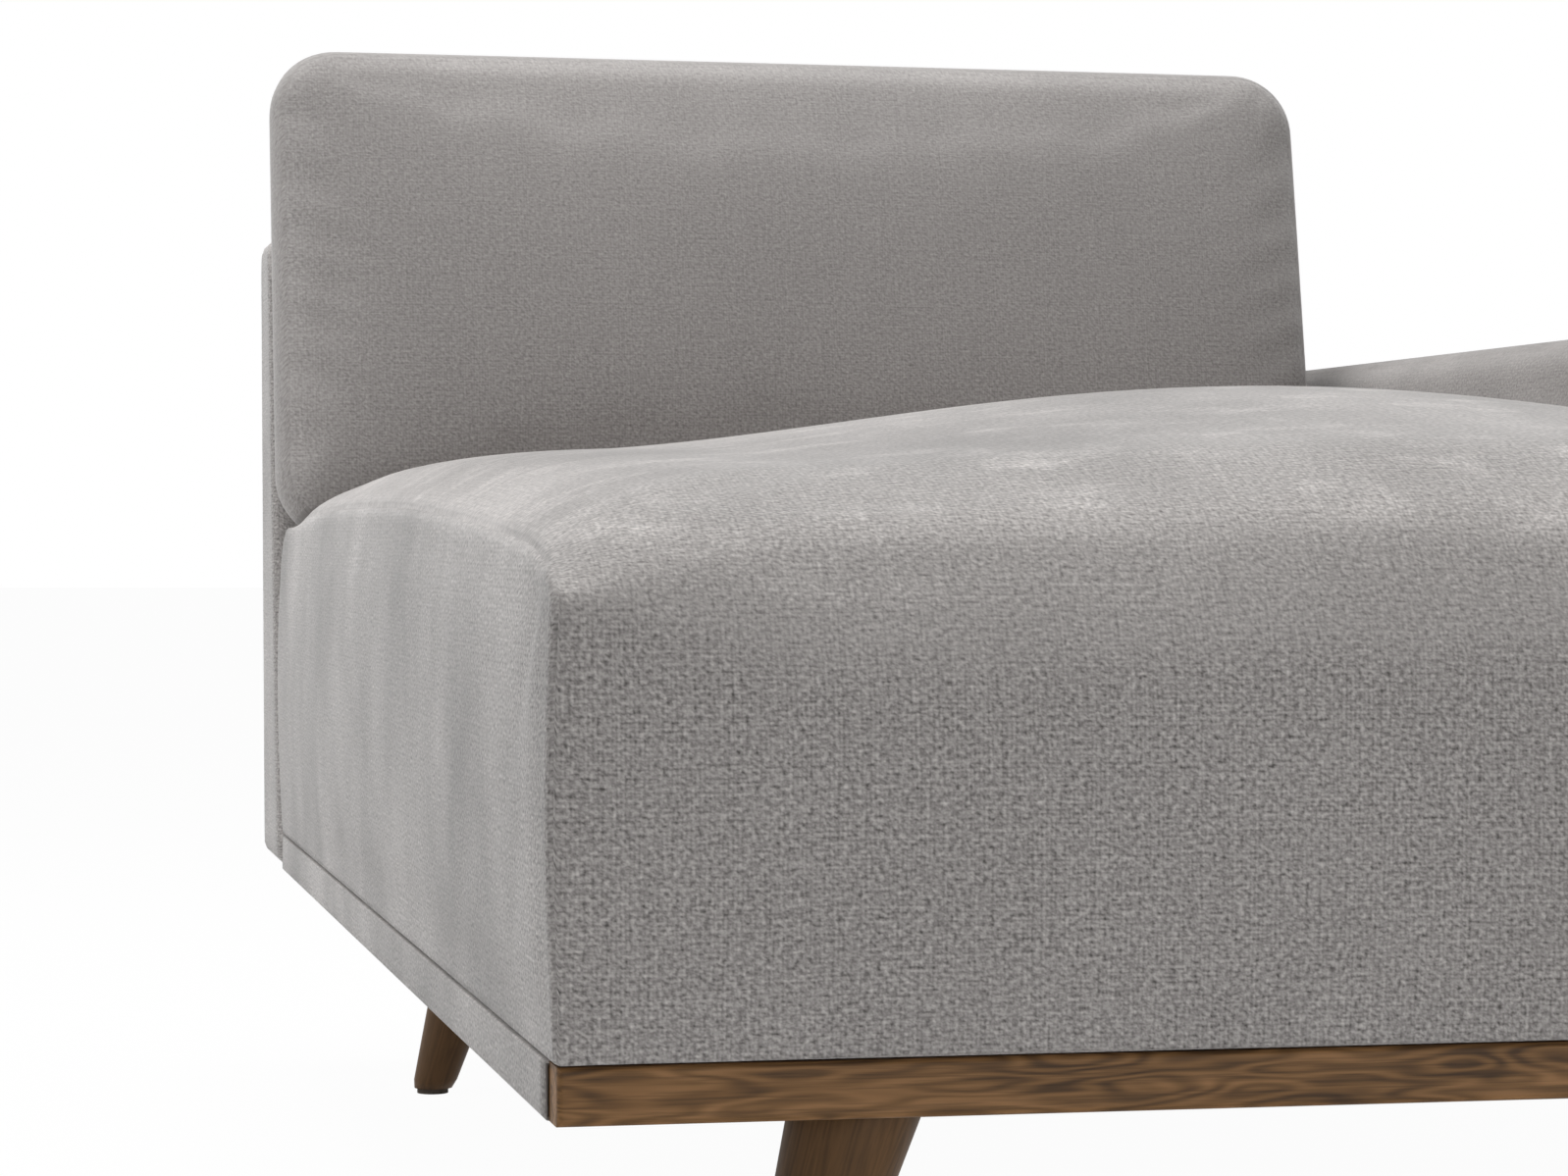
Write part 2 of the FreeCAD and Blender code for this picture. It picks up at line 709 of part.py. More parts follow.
CROWN_SPREAD = 3.5
CROWN_FULLNESS = 0.7
FRONT_FALL = 0.35
FALL_EASE = 0.35
REAR_TURN = {"reach": 0.22, "drop": 0.3}
FRONT_TURN = {"reach": 0.24, "drop": 0.34}
END_SWELL = 1.2
TIP_REACH = 0.3
SLICES = 14
STATIONS = [-math.cos(math.pi * number / SLICES) for number in range(SLICES + 1)]


def crown_share(station):
    """How much of the crown a slice has: none at the side seams, all of it in the middle."""
    return (1 - abs(station) ** CROWN_SPREAD) ** CROWN_FULLNESS


def seat_slice(station):
    """One slice of the seat cushion in Y and Z, from the hem round the crown and back."""
    share = crown_share(station)
    half_width = float(dim.seat_width) / 2 - float(dim.seat_gap)
    x = float(middle_x) + station * half_width
    drawn_in = float(dim.seat_drawn_in) * (1 - share)
    front = float(front_y - dim.trim_setback) + drawn_in
    rear = float(rear_y - dim.seat_rear_gap) - drawn_in
    low = float(deck_z + dim.slack)
    crown = float(deck_z + dim.seat_edge) + float(dim.seat_crown - dim.seat_edge) * share
    rear_top = float(deck_z + dim.seat_rear)
    shoulder = float(deck_z + dim.seat_shoulder)
    hem = float(dim.seat_hem_round)
    front_round = float(dim.seat_front_round)
    rear_round = float(dim.seat_rear_round)
    front_top = crown - FRONT_FALL * (crown - shoulder) * (1 - FALL_EASE * share)
    waist = (low + shoulder) / 2
    swell = hem / 4

    def point(y, z):
        return Vector(x, y, z)

    hem_front = point(front + hem, low)
    hem_rear = point(rear - hem, low)
    rear_shoulder = point(rear, shoulder)
    rear_drop = REAR_TURN["drop"] * (rear_top - shoulder)
    rear_turn = point(rear - REAR_TURN["reach"] * rear_round, rear_top - rear_drop)
    rear_crown = point(rear - rear_round, rear_top)
    front_crown = point(front + front_round, front_top)
    front_drop = FRONT_TURN["drop"] * (front_top - shoulder)
    front_turn = point(front + FRONT_TURN["reach"] * front_round, front_top - front_drop)
    front_shoulder = point(front, shoulder)
    return Part.Wire(
        [
            line(hem_front, hem_rear),
            arc(hem_rear, point(rear + swell, waist), rear_shoulder),
            arc(rear_shoulder, rear_turn, rear_crown),
            arc(rear_crown, point((front + rear) / 2, crown), front_crown),
            arc(front_crown, front_turn, front_shoulder),
            arc(front_shoulder, point(front - swell, waist), hem_front),
        ]
    )


def cushion_slice(station):
    """One slice of the back cushion, upright, with its rear at Y = 0 and its foot at Z = 0."""
    half_width = float(dim.cushion_width) / 2
    x = station * half_width
    corner = float(dim.cushion_corner)
    into_corner = max(0.0, corner - half_width * (1 - abs(station)))
    drop = corner - math.sqrt(corner**2 - into_corner**2)
    high = float(dim.cushion_height) - drop
    thickness = float(dim.cushion_thickness)
    seam = END_SWELL * float(dim.cushion_edge)
    swell = (seam + (thickness - seam) * crown_share(station)) / 2
    edge = float(dim.cushion_edge) / 2
    reach = TIP_REACH * corner
    waist = float(dim.cushion_height) / 2

    def point(y, z):
        return Vector(x, y - thickness / 2, z)

    front_low = point(-edge, drop + reach)
    front_high = point(-edge, high - reach)
    rear_high = point(edge, high - reach)
    rear_low = point(edge, drop + reach)
    return Part.Wire(
        [
            arc(front_low, point(-swell, waist), front_high),
            arc(front_high, point(0, high), rear_high),
            arc(rear_high, point(swell, waist), rear_low),
            arc(rear_low, point(0, drop), front_low),
        ]
    )


def stuffed(name, slices):
    form = doc.addObject("Part::Feature", name)
    form.Shape = Part.makeLoft([slices(station) for station in STATIONS], True, True)
    return form


core_low = (left_x + dim.core_margin, front_y + dim.core_margin, deck_z + dim.core_margin / 2)
core_x = arm_x - dim.core_margin
core_high = (core_x, rear_y - dim.core_margin, deck_z + dim.core_margin / 2 + dim.core_height)
keep("seat_cushion_core", block("seat_cushion_core", core_low, core_high))
keep("seat_cushion", cut("seat_cushion", stuffed("seat_form", seat_slice), [pieces["seat_cushion_core"]]))

# The back cushion stands on the seat and leans on the backrest

lean_angle = math.degrees(math.atan2(float(dim.back_front_run), float(back_rise)))
foot_z = deck_z + dim.seat_rear - dim.cushion_sink
foot_y = back_front(foot_z, -dim.cushion_rest)
foot_x = left_x - dim.cushion_bulge + dim.cushion_width / 2
stand = FreeCAD.Placement(
    Vector(float(foot_x), float(foot_y), float(foot_z)),
    FreeCAD.Rotation(Vector(1, 0, 0), -lean_angle),
)
cushion_form = stuffed("cushion_form", cushion_slice)
cushion_form.Placement = stand
filling = doc.addObject("PartDesign::Body", "cushion_filling")
filling_pad = filling.newObject("PartDesign::Pad", "cushion_filling_pad")
filling_half = dim.cushion_width / 2 - dim.core_margin
filling_rows = (dim.core_margin, dim.cushion_height - dim.core_margin)
filling_outline = [(-filling_half, filling_rows[0]), (filling_half, filling_rows[0])]
filling_outline += [(filling_half, filling_rows[1]), (-filling_half, filling_rows[1])]
filling_pad.Profile = sketch(filling, "XZ_Plane", filling_outline)
bind(filling_pad, Length=dim.filling_thickness)
doc.recompute()
inwards = Vector(0, -float(dim.cushion_thickness) / 2 - filling.Shape.BoundBox.Center.y, 0)
filling.Placement = stand.multiply(FreeCAD.Placement(inwards, FreeCAD.Rotation()))
keep("back_cushion_core", filling)
keep("back_cushion", cut("back_cushion", cushion_form, [filling]))

# Every object is checked before anything is written

doc.recompute()
for thing in doc.Objects:
    for fault in ("Invalid", "Error"):
        if fault in thing.State:
            raise RuntimeError(f"{thing.Name} is {fault}")
for label, thing in pieces.items():
    if thing.Shape.isNull() or not thing.Shape.isValid():
        raise RuntimeError(f"{label} has no valid shape")

os.makedirs("parts", exist_ok=True)
for label, thing in pieces.items():
    thing.Shape.exportStep(f"parts/{label}.step")
    print(f"{label}: {len(thing.Shape.Solids)} solids, {thing.Shape.Volume / 1e6:.3f} litres")
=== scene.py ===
import json
import math
import bpy
import numpy as np
from mathutils import Matrix, Vector


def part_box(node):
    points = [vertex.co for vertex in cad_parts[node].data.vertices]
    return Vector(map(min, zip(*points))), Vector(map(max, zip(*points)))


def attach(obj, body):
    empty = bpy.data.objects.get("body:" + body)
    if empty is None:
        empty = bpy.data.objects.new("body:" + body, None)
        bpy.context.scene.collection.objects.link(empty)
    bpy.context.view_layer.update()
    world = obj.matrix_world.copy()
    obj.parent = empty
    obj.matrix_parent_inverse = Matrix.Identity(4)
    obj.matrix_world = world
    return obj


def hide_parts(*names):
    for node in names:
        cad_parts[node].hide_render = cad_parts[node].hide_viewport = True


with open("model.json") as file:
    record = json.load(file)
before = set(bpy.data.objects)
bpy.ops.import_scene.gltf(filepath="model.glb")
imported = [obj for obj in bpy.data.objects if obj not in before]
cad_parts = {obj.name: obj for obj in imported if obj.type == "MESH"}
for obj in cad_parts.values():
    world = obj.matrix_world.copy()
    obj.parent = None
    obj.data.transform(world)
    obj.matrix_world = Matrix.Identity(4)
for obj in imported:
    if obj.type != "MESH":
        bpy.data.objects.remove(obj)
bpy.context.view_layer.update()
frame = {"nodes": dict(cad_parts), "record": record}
nodes = frame["nodes"]
mm = 0.001
tiny = 1e-9  # less than any two lattice places differ by
print("frame loaded:", len(nodes), "nodes")


# surfaces

def smoothStep(low, high, value):
    # 0 below low, 1 above high, an even S between
    t = np.clip((value - low) / (high - low), 0, 1)
    return t * t * (3 - 2 * t)


def crownShare(t, spread, fullness):
    # 1 in the middle, 0 at both seams
    return np.clip(1 - np.abs(t) ** spread, 0, 1) ** fullness


def gradedStops(count, crowd):
    # even steps from -1 to 1, drawn towards both ends by a sine
    t = np.linspace(-1, 1, count + 1)
    return (1 - crowd) * t + crowd * np.sin(0.5 * np.pi * t)


def gridQuads(index):
    # the four neighbours of each cell of a table of vertex numbers
    corners = [index[:-1, :-1], index[1:, :-1], index[1:, 1:], index[:-1, 1:]]
    return np.stack(corners, axis=-1).reshape(-1, 4)


def shellLattice(counts, crowd):
    # the skin of a cube of lattice points: parameters from -1 to 1, quads that face outwards, and for each
    # quad its panel: twice the axis that it stands across, and one more at the far end
    stops = [gradedStops(count, crowd) for count in counts]
    lattice = np.stack(np.meshgrid(*stops, indexing="ij"), axis=-1)
    skin = (np.abs(lattice) > 1 - tiny).any(axis=-1)
    index = np.full(skin.shape, -1)
    index[skin] = np.arange(skin.sum())
    quads, panels = [], []
    for axis in range(3):
        for end in (0, -1):
            cells = gridQuads(np.take(index, end, axis=axis))
            outwards = (end == -1) != (axis == 1)
            quads.append(cells if outwards else cells[:, ::-1])
            panels.append(np.full(len(cells), 2 * axis + (end == -1)))
    return lattice[skin], np.concatenate(quads), np.concatenate(panels)


def cornerRounds(p, rounds):
    # each point's own corner of four: front low, front high, rear low, rear high; its reach across and up
    return np.array(rounds)[2 * (p[:, 1] > 0) + (p[:, 2] > 0)].T


def easedBox(p, half, seamRound, across, up):
    # a box over the lattice: the edges of its two end panels turn through seamRound, and the outline
    # between them has a quarter ellipse at each corner
    gapX, gapY, gapZ = ((1 - np.abs(p)) * half).T
    towardsEnd = np.clip(1 - gapX / seamRound, 0, 1)
    towardsRim = np.clip(1 - np.minimum(gapY, gapZ) / seamRound, 0, 1)
    length = np.maximum(np.hypot(towardsEnd, towardsRim), tiny)
    turned = np.maximum(towardsEnd, towardsRim) * towardsEnd / length
    eased = half[0] - seamRound + seamRound * turned
    x = np.where(gapX < seamRound, eased, half[0] - gapX) * np.sign(p[:, 0])
    share = (1 - 1 / np.sqrt(1 + towardsEnd**2)) / (1 - math.sqrt(0.5))

    def drawnIn(gap):
        near = np.clip(1 - gap / seamRound, 0, 1)
        rim = np.where(gap < seamRound, seamRound * (1 - near / np.sqrt(1 + near**2)), gap)
        return gap + (rim - gap) * share

    y, z = half[1] - drawnIn(gapY), half[2] - drawnIn(gapZ)
    eY, eZ = (y - half[1] + across) / across, (z - half[2] + up) / up
    bend = np.maximum(eY, eZ) / np.maximum(np.hypot(eY, eZ), tiny)
    inCorner = (eY > 0) & (eZ > 0)
    y = np.where(inCorner, half[1] - across + across * bend * eY, y) * np.sign(p[:, 1])
    z = np.where(inCorner, half[2] - up + up * bend * eZ, z) * np.sign(p[:, 2])
    return np.stack([x, y, z], axis=-1)


def makePiece(name, points, faces, smooth=True):
    mesh = bpy.data.meshes.new(name)
    mesh.from_pydata(np.asarray(points, float).tolist(), [], [list(map(int, face)) for face in faces])
    if smooth:
        mesh.shade_smooth()
    piece = bpy.data.objects.new(name, mesh)
    bpy.context.scene.collection.objects.link(piece)
    return piece


def vertexRows(mesh, key):
    # places or normals of all vertices, a row for each
    return np.array([getattr(vertex, key) for vertex in mesh.vertices])


def movePoints(piece, points):
    piece.data.vertices.foreach_set("co", points.astype(np.float32).reshape(-1))
    piece.data.update()


def writeMap(piece, uv):
    layer = piece.data.uv_layers.new(name="cloth")
    layer.data.foreach_set("uv", uv.astype(np.float32).reshape(-1))


def markFacing(piece):
    # each vertex keeps the way it faces, which the nap's patches and the painted light and sheen on the
    # cloth follow
    facing = vertexRows(piece.data, "normal").astype(np.float32)
    layer = piece.data.attributes.new("facing", "FLOAT_VECTOR", "POINT")
    layer.data.foreach_set("vector", facing.reshape(-1))


def layCloth(piece, p, quads, panels, order):
    # a cloth map in metres: the end panels lie flat, and the outline between them is one strip, mapped
    # across its width and by the length round it from the low front corner; order names the end, across
    # and up axes
    points = vertexRows(piece.data, "co")
    end, across, up = order
    b, c = p[:, across], p[:, up]
    lap = np.select([b < -1 + tiny, c > 1 - tiny, b > 1 - tiny], [c + 1, b + 3, 5 - c], 7 - b)
    onRim = np.maximum(np.abs(b), np.abs(c)) > 1 - tiny
    length, total = np.zeros(len(p)), np.zeros(len(p))
    for stop in np.unique(p[:, end]):
        ring = np.nonzero(onRim & (p[:, end] == stop))[0]
        ring = ring[np.argsort(lap[ring])]
        steps = np.linalg.norm(np.diff(points[ring], axis=0, append=points[ring[:1]]), axis=1)
        length[ring] = np.cumsum(steps) - steps
        total[ring] = steps.sum()
    corner = quads.reshape(-1)
    panel = np.repeat(panels, 4)
    closing = (panel == 2 * up) & (lap[corner] < tiny)
    u, v = points[corner, end], np.where(closing, total[corner], length[corner])
    for number in (2 * end, 2 * end + 1):
        here = panel == number
        u[here], v[here] = points[corner[here], across], points[corner[here], up]
    writeMap(piece, np.stack([u, v], axis=-1))


def softPiece(name, form, look, order=(0, 1, 2)):
    # a form worked out over its own lattice, with a cloth map
    p, quads, panels = shellLattice(look["cells"], look["crowd"])
    piece = makePiece(name, form(p), quads)
    layCloth(piece, p, quads, panels, order)
    return piece, p, (quads, panels)


def sewSeams(piece, p, end, depth):
    # the stitch line round both end panels is drawn in along the surface normals
    rim = np.abs(np.delete(p, end, axis=1)).max(axis=1)
    sewn = (np.abs(p[:, end]) > 1 - tiny) & (rim > 1 - tiny)
    points, normals = vertexRows(piece.data, "co"), vertexRows(piece.data, "normal")
    points[sewn] -= normals[sewn] * depth
    movePoints(piece, points)
    markFacing(piece)


def closedTube(rings, turned):
    # rows of points, each joined in a ring and to the next row, with one face over either end
    index = np.arange(rings[..., 0].size).reshape(rings.shape[:2])
    around = np.concatenate([index, index[:, :1]], axis=1)
    faces = [list(face) for face in gridQuads(around)] + [list(index[0]), list(index[-1][::-1])]
    if turned:
        faces = [face[::-1] for face in faces]
    return rings.reshape(-1, 3), faces


def carried(profile, spine, sideways, upwards):
    # a closed profile carried along a line of points: each point adds the profile's two lengths along two
    # directions; the sign of the profile's area tells which way its faces look
    profile, spine = np.asarray(profile), np.asarray(spine)
    offsets = profile[:, :1] * np.array(sideways) + profile[:, 1:] * np.array(upwards)
    nextOnes = np.roll(profile, -1, axis=0)
    area = np.sum(profile[:, 0] * nextOnes[:, 1] - nextOnes[:, 0] * profile[:, 1])
    facing = area * np.dot(np.cross(sideways, upwards), spine[-1] - spine[0])
    return closedTube(spine[:, None] + offsets, facing > 0)


def joinedForms(forms):
    # several forms as one: the points in a row, the faces counted on from the form before
    points, faces, count = [], [], 0
    for shape, cells in forms:
        points.append(shape)
        faces += [np.asarray(cell) + count for cell in cells]
        count += len(shape)
    return np.concatenate(points), faces


def mapFlat(piece, uv):
    # a cloth map in metres from each vertex's own two lengths
    corner = np.array([loop.vertex_index for loop in piece.data.loops])
    writeMap(piece, uv[corner])


stuffing = {"quality": 4, "mass": 0.3, "softerInShear": 3}


def puff(piece, held, freedom, pad):
    # pressure swells the closed cover; each point stays within the pad's reach of where it started, by a
    # hyperbolic tangent, times its own freedom
    start = vertexRows(piece.data, "co")
    group = piece.vertex_groups.new(name="held")
    group.add(np.nonzero(held)[0].tolist(), 1.0, "REPLACE")
    cloth = piece.modifiers.new("stuffing", "CLOTH")
    cloth.settings.quality = stuffing["quality"]
    cloth.settings.mass = stuffing["mass"]
    cloth.settings.tension_stiffness = cloth.settings.compression_stiffness = pad["stiffness"]
    cloth.settings.shear_stiffness = pad["stiffness"] / stuffing["softerInShear"]
    cloth.settings.bending_stiffness = pad["bending"]
    cloth.settings.shrink_min = -pad["spare"]
    cloth.settings.use_pressure = True
    cloth.settings.uniform_pressure_force = pad["pressure"]
    cloth.settings.vertex_group_mass = "held"
    cloth.settings.effector_weights.gravity = 0
    cloth.collision_settings.use_collision = False
    scene = bpy.context.scene
    cloth.point_cache.frame_start, cloth.point_cache.frame_end = 1, pad["frames"]
    for number in range(1, pad["frames"] + 1):
        scene.frame_set(number)
    shaped = piece.evaluated_get(bpy.context.evaluated_depsgraph_get()).to_mesh()
    moved = vertexRows(shaped, "co") - start
    piece.modifiers.remove(cloth)
    piece.vertex_groups.remove(group)
    scene.frame_set(1)
    far = np.linalg.norm(moved, axis=1, keepdims=True)
    moved *= pad["reach"] * np.tanh(far / pad["reach"]) / np.maximum(far, tiny) * freedom[:, None]
    movePoints(piece, start + moved)
    largest = float(np.linalg.norm(moved, axis=1).max()) / mm
    print("stuffed", piece.name, "largest move", round(largest, 2), "mm")


# shader maths

class Wire:
    def __init__(self, sheet, socket):
        self.sheet, self.socket = sheet, socket

    def math(self, operation, *values):
        return self.sheet.node("ShaderNodeMath", {"operation": operation}, dict(enumerate(values)))

    def __add__(self, other):
        return self.math("ADD", self, other)

    def __radd__(self, other):
        return self.math("ADD", other, self)

    def __sub__(self, other):
        return self.math("SUBTRACT", self, other)

    def __rsub__(self, other):
        return self.math("SUBTRACT", other, self)

    def __mul__(self, other):
        return self.math("MULTIPLY", self, other)

    def __rmul__(self, other):
        return self.math("MULTIPLY", other, self)

    def __truediv__(self, other):
        return self.math("DIVIDE", self, other)

    def __rtruediv__(self, other):
        return self.math("DIVIDE", other, self)

    def floor(self):
        return self.math("FLOOR", self)

    def sine(self):
        return self.math("SINE", self)

    def cosine(self):
        return self.math("COSINE", self)

    def size(self):
        return self.math("ABSOLUTE", self)

    def ribs(self, pitch):
        # a row of half sines, one to each pitch
        return (self * (math.pi / pitch)).sine().size()

    def over(self, other):
        return self.math("MAXIMUM", self, other)


class Finish:
    def __init__(self, name, **fixed):
        self.material = bpy.data.materials.new(name)
        self.material.use_nodes = True
        self.tree = self.material.node_tree
        self.shader = self.tree.nodes["Principled BSDF"]
        for socket, value in fixed.items():
            self.shader.inputs[socket.replace("_", " ")].default_value = value

    def node(self, kind, settings, sockets, out=0):
        made = self.tree.nodes.new(kind)
        for key, value in settings.items():
            if key == "stops":
                for number, (place, colour) in enumerate(value):
                    stops = made.color_ramp.elements
                    stop = stops[number] if number < 2 else stops.new(place)
                    stop.position, stop.color = place, (*colour, 1)
            else:
                setattr(made, key, value)
        for key, value in sockets.items():
            if isinstance(value, Wire):
                self.tree.links.new(value.socket, made.inputs[key])
            else:
                made.inputs[key].default_value = value
        return Wire(self, made.outputs[out])

    def feed(self, socket, wire):
        self.tree.links.new(wire.socket, self.shader.inputs[socket])

    def place(self, scale=(1, 1, 1), turn=(0, 0, 0), shift=(0, 0, 0)):
        # object coordinates, turned and scaled
        coords = self.node("ShaderNodeTexCoord", {}, {}, "Object")
        sockets = {"Vector": coords, "Location": shift, "Rotation": turn, "Scale": scale}
        return self.node("ShaderNodeMapping", {}, sockets)

    def clothMap(self):
        return self.node("ShaderNodeUVMap", {"uv_map": "cloth"}, {})

    def noise(self, vector, detail, rough=0.5, scale=1.0):
        sockets = {"Vector": vector, "Scale": scale, "Detail": detail, "Roughness": rough}
        return self.node("ShaderNodeTexNoise", {}, sockets)

    def parts(self, vector):
        made = self.node("ShaderNodeSeparateXYZ", {}, {0: vector})
        return [Wire(self, made.socket.node.outputs[axis]) for axis in "XYZ"]

    def joined(self, *parts):
        return self.node("ShaderNodeCombineXYZ", {}, dict(enumerate(parts)))

    def ramp(self, value, look):
        # the look's shades, each at its own level
        stops = [(look[tone + "At"], look[tone]) for tone in ("dark", "mid", "pale") if tone in look]
        return self.node("ShaderNodeValToRGB", {"stops": stops}, {"Fac": value})

    def mix(self, share, first, second, blend="MIX"):
        colours = {0: share, 6: first, 7: second}
        return self.node("ShaderNodeMix", {"data_type": "RGBA", "blend_type": blend}, colours, 2)

    def span(self, value, low, high, newLow=0.0, newHigh=1.0):
        return self.node("ShaderNodeMapRange", {}, {0: value, 1: low, 2: high, 3: newLow, 4: newHigh})

    def bump(self, height, look):
        sockets = {"Height": height, "Strength": look["reliefStrength"], "Distance": look["relief"]}
        self.feed("Normal", self.node("ShaderNodeBump", {}, sockets))

    def shade(self, colour, share):
        # the colour times a plain number
        dimmed = self.mix(1.0, colour, self.joined(share, share, share), "MULTIPLY")
        self.feed("Base Color", dimmed)

    def seen(self):
        # 1 for rays from the camera, and for those that come by way of a mirror or glass
        rays = self.node("ShaderNodeLightPath", {}, {}, "Is Camera Ray")
        for kind in ("Is Glossy Ray", "Is Transmission Ray"):
            rays = rays.over(self.node("ShaderNodeLightPath", {}, {}, kind))
        return rays


class Sky(Finish):
    def __init__(self, name):
        self.world = bpy.data.worlds.new(name)
        self.world.use_nodes = True
        self.tree = self.world.node_tree
        self.shader = self.tree.nodes["Background"]


def linear(*levels):
    # screen levels from 0 to 255 as the linear colour they stand for
    return tuple(((v / 255 + 0.055) / 1.055) ** 2.4 if v > 10 else v / 255 / 12.92 for v in levels)


clothLook = {
    "pitch": 2.1 * mm,  # one thread
    "wobble": 22 * mm,  # length over which threads wander
    "weftGrain": (3.2 * mm, 1.9 * mm),
    "warpGrain": (1.9 * mm, 3.2 * mm),
    "loop": 2.3 * mm,
    "loopSlant": 0.5,
    "yarnSize": (50 * mm, 1.7 * mm),
    "threadShare": 0.14,  # of the height; then those of the grains and loops
    "weftShare": 0.65,
    "warpShare": 0.4,
    "loopShare": 0.8,
    "dark": linear(90, 87, 85),
    "mid": linear(158, 154, 152),
    "pale": linear(206, 202, 199),
    "darkAt": 0.0,
    "midAt": 0.46,
    "paleAt": 0.95,
    "napSize": (210 * mm, 290 * mm),  # soft patches of the nap
    "napRange": (0.3, 0.72),
    "napMiddle": 0.45,
    "nap": 0.8,  # how far the patches differ: the nap's own tone, and painted sheen where they show stronger than on the front
    "napFront": 0.08,  # the same on faces that look along Y
    "wispSize": (70 * mm, 46 * mm),  # pale wisps of painted sheen on what faces up
    # painted sheen: how much paler the wisps make what faces up
    "wisp": 0.66,
    "wispRange": (0.52, 0.74),
    "wispLying": (0.45, 0.75),
    "edgeWear": 0.24,  # painted light: paler where the front turns into the top
    "edgeLying": (0.42, 0.72),
    "edgeFlat": (0.82, 0.97),
    "spread": (0.65, 1.43),  # heights that are darkest and palest
    "lying": (0.02, 0.36),  # how far a face looks up before it takes the painted top light, in part and in full
    # painted light: how much paler the faces that look up are made
    "brushed": 0.24,
    "flattened": 0.3,  # share of the weave's contrast that is lost where it faces up
    "yarn": 0.24,  # how far whole threads differ
    "relief": 0.55 * mm,
    "reliefStrength": 0.9,
}
# a softer cloth: weaker nap patches, painted sheen and painted light, less contrast in the weave and a
# lower relief
softer = {
    "nap": 0.42,
    "wisp": 0.04,
    "brushed": 0.02,
    "edgeWear": 0.0,
    "spread": (0.34, 1.74),
    "yarn": 0.15,
    "relief": 0.35 * mm,
}


def wovenCloth(name, look):
    # fuzzy plain weave on the cloth map: long grains and loops over faint threads, which are half sines
    # going over and under by a cosine; the nap lies in pale and dark patches, partly painted sheen, faint
    # on faces that look along Y; painted light makes faces that look up paler, with pale wisps of painted
    # sheen, and most painted light where the front turns into the top
    finish = Finish(name, Roughness=0.92, Sheen_Weight=0.45, Sheen_Roughness=0.4, Specular_IOR_Level=0.2)
    u, v, _ = finish.parts(finish.clothMap())

    def stretched(size, detail, rough=0.5, depth=0.0):
        return finish.noise(finish.joined(u / size[0], v / size[1], depth), detail, rough)

    wobble = stretched((look["wobble"], look["wobble"]), detail=2.0) - 0.5
    across = u / look["pitch"] + wobble
    along = v / look["pitch"] - wobble
    column, row = across.floor(), along.floor()
    weft = along.ribs(1) * (0.5 + 0.5 * ((across - 0.5 + row) * math.pi).cosine())
    warp = across.ribs(1) * (0.5 - 0.5 * ((along - 0.5 + column) * math.pi).cosine())
    weftGrain = stretched(look["weftGrain"], detail=1.5)
    warpGrain = stretched(look["warpGrain"], detail=1.5, depth=4.0)
    slanted = finish.joined((u + v * look["loopSlant"]) / look["loop"], v / look["loop"], 8.0)
    loops = finish.noise(slanted, detail=1.5)
    yarns = stretched(look["yarnSize"], detail=1.0, depth=16.0)
    yarns = yarns + stretched(look["yarnSize"][::-1], detail=1.0, depth=20.0)
    height = weft.over(warp) * look["threadShare"] + weftGrain * look["weftShare"]
    height = height + warpGrain * look["warpShare"] + loops * look["loopShare"]
    facing = finish.node("ShaderNodeAttribute", {"attribute_name": "facing"}, {}, "Vector")
    _, frontwards, upwards = finish.parts(facing)
    lying = finish.span(upwards, *look["lying"])
    level = finish.span(height, *look["spread"]) + (yarns - 1.0) * look["yarn"]
    level = 0.5 + (level - 0.5) * (1.0 - lying * look["flattened"])
    # pale and dark patches: the nap's own tone, plus painted sheen in how much stronger they are on faces
    # that do not look along Y
    patches = stretched(look["napSize"], detail=4.0, rough=0.6)
    patches = finish.span(patches, *look["napRange"]) - look["napMiddle"]
    napToneAndPaintedLight = 1.0 + patches * (look["nap"] + (look["napFront"] - look["nap"]) * frontwards.size())
    # pale wisps of painted sheen, only on faces that look up
    wisps = stretched(look["wispSize"], detail=5.0, rough=0.68, depth=63.0)
    wisps = finish.span(wisps, *look["wispRange"])
    onTop = finish.span(upwards, *look["wispLying"])
    # painted light and painted sheen: faces that look up are paler, with pale wisps on them
    napToneAndPaintedLight = napToneAndPaintedLight + lying * look["brushed"] + onTop * look["wisp"] * wisps
    # painted light on the roll where the front turns into the top
    turning = finish.span(upwards, *look["edgeLying"]) * (1.0 - finish.span(upwards, *look["edgeFlat"]))
    napToneAndPaintedLight = napToneAndPaintedLight + turning * look["edgeWear"]
    # the colour times the nap's tone and the painted light and sheen
    finish.shade(finish.ramp(level, look), napToneAndPaintedLight)
    finish.bump(height, look)
    return finish.material


walnutLook = {
    "dark": linear(68, 48, 29),
    "mid": linear(117, 85, 51),
    "pale": linear(154, 114, 74),
    "darkAt": 0.3,
    "midAt": 0.48,
    "paleAt": 0.72,
    "contours": 7.0,
    "contourShare": 0.17,  # of the level; then those of the patches and fibres
    "patchShare": 0.6,
    "fibreShare": 0.22,
    "patchSize": (1.3, 1.1),  # length and width of a patch, in eyes
    "fibres": (9, 620),  # in a metre along the grain and across it
    "fibreBend": 0.02,  # how far they fray the contours
    "pores": (26, 900),
    "poreRange": (0.36, 0.5),
    "poreDepth": 0.28,
    "rough": (0.66, 0.2),  # at the darkest, and how much less at the palest
    "poreRelief": 0.6,
    "fibreRelief": 0.4,
    "relief": 0.3 * mm,
    "reliefStrength": 0.25,
}
trimLook = {"eye": (75 * mm, 12 * mm)}  # length and width of the flame figure
legLook = {"eye": (700 * mm, 11 * mm), "shift": (0, 0.03, 0.02), "darken": 0.6, "figure": 0.45}


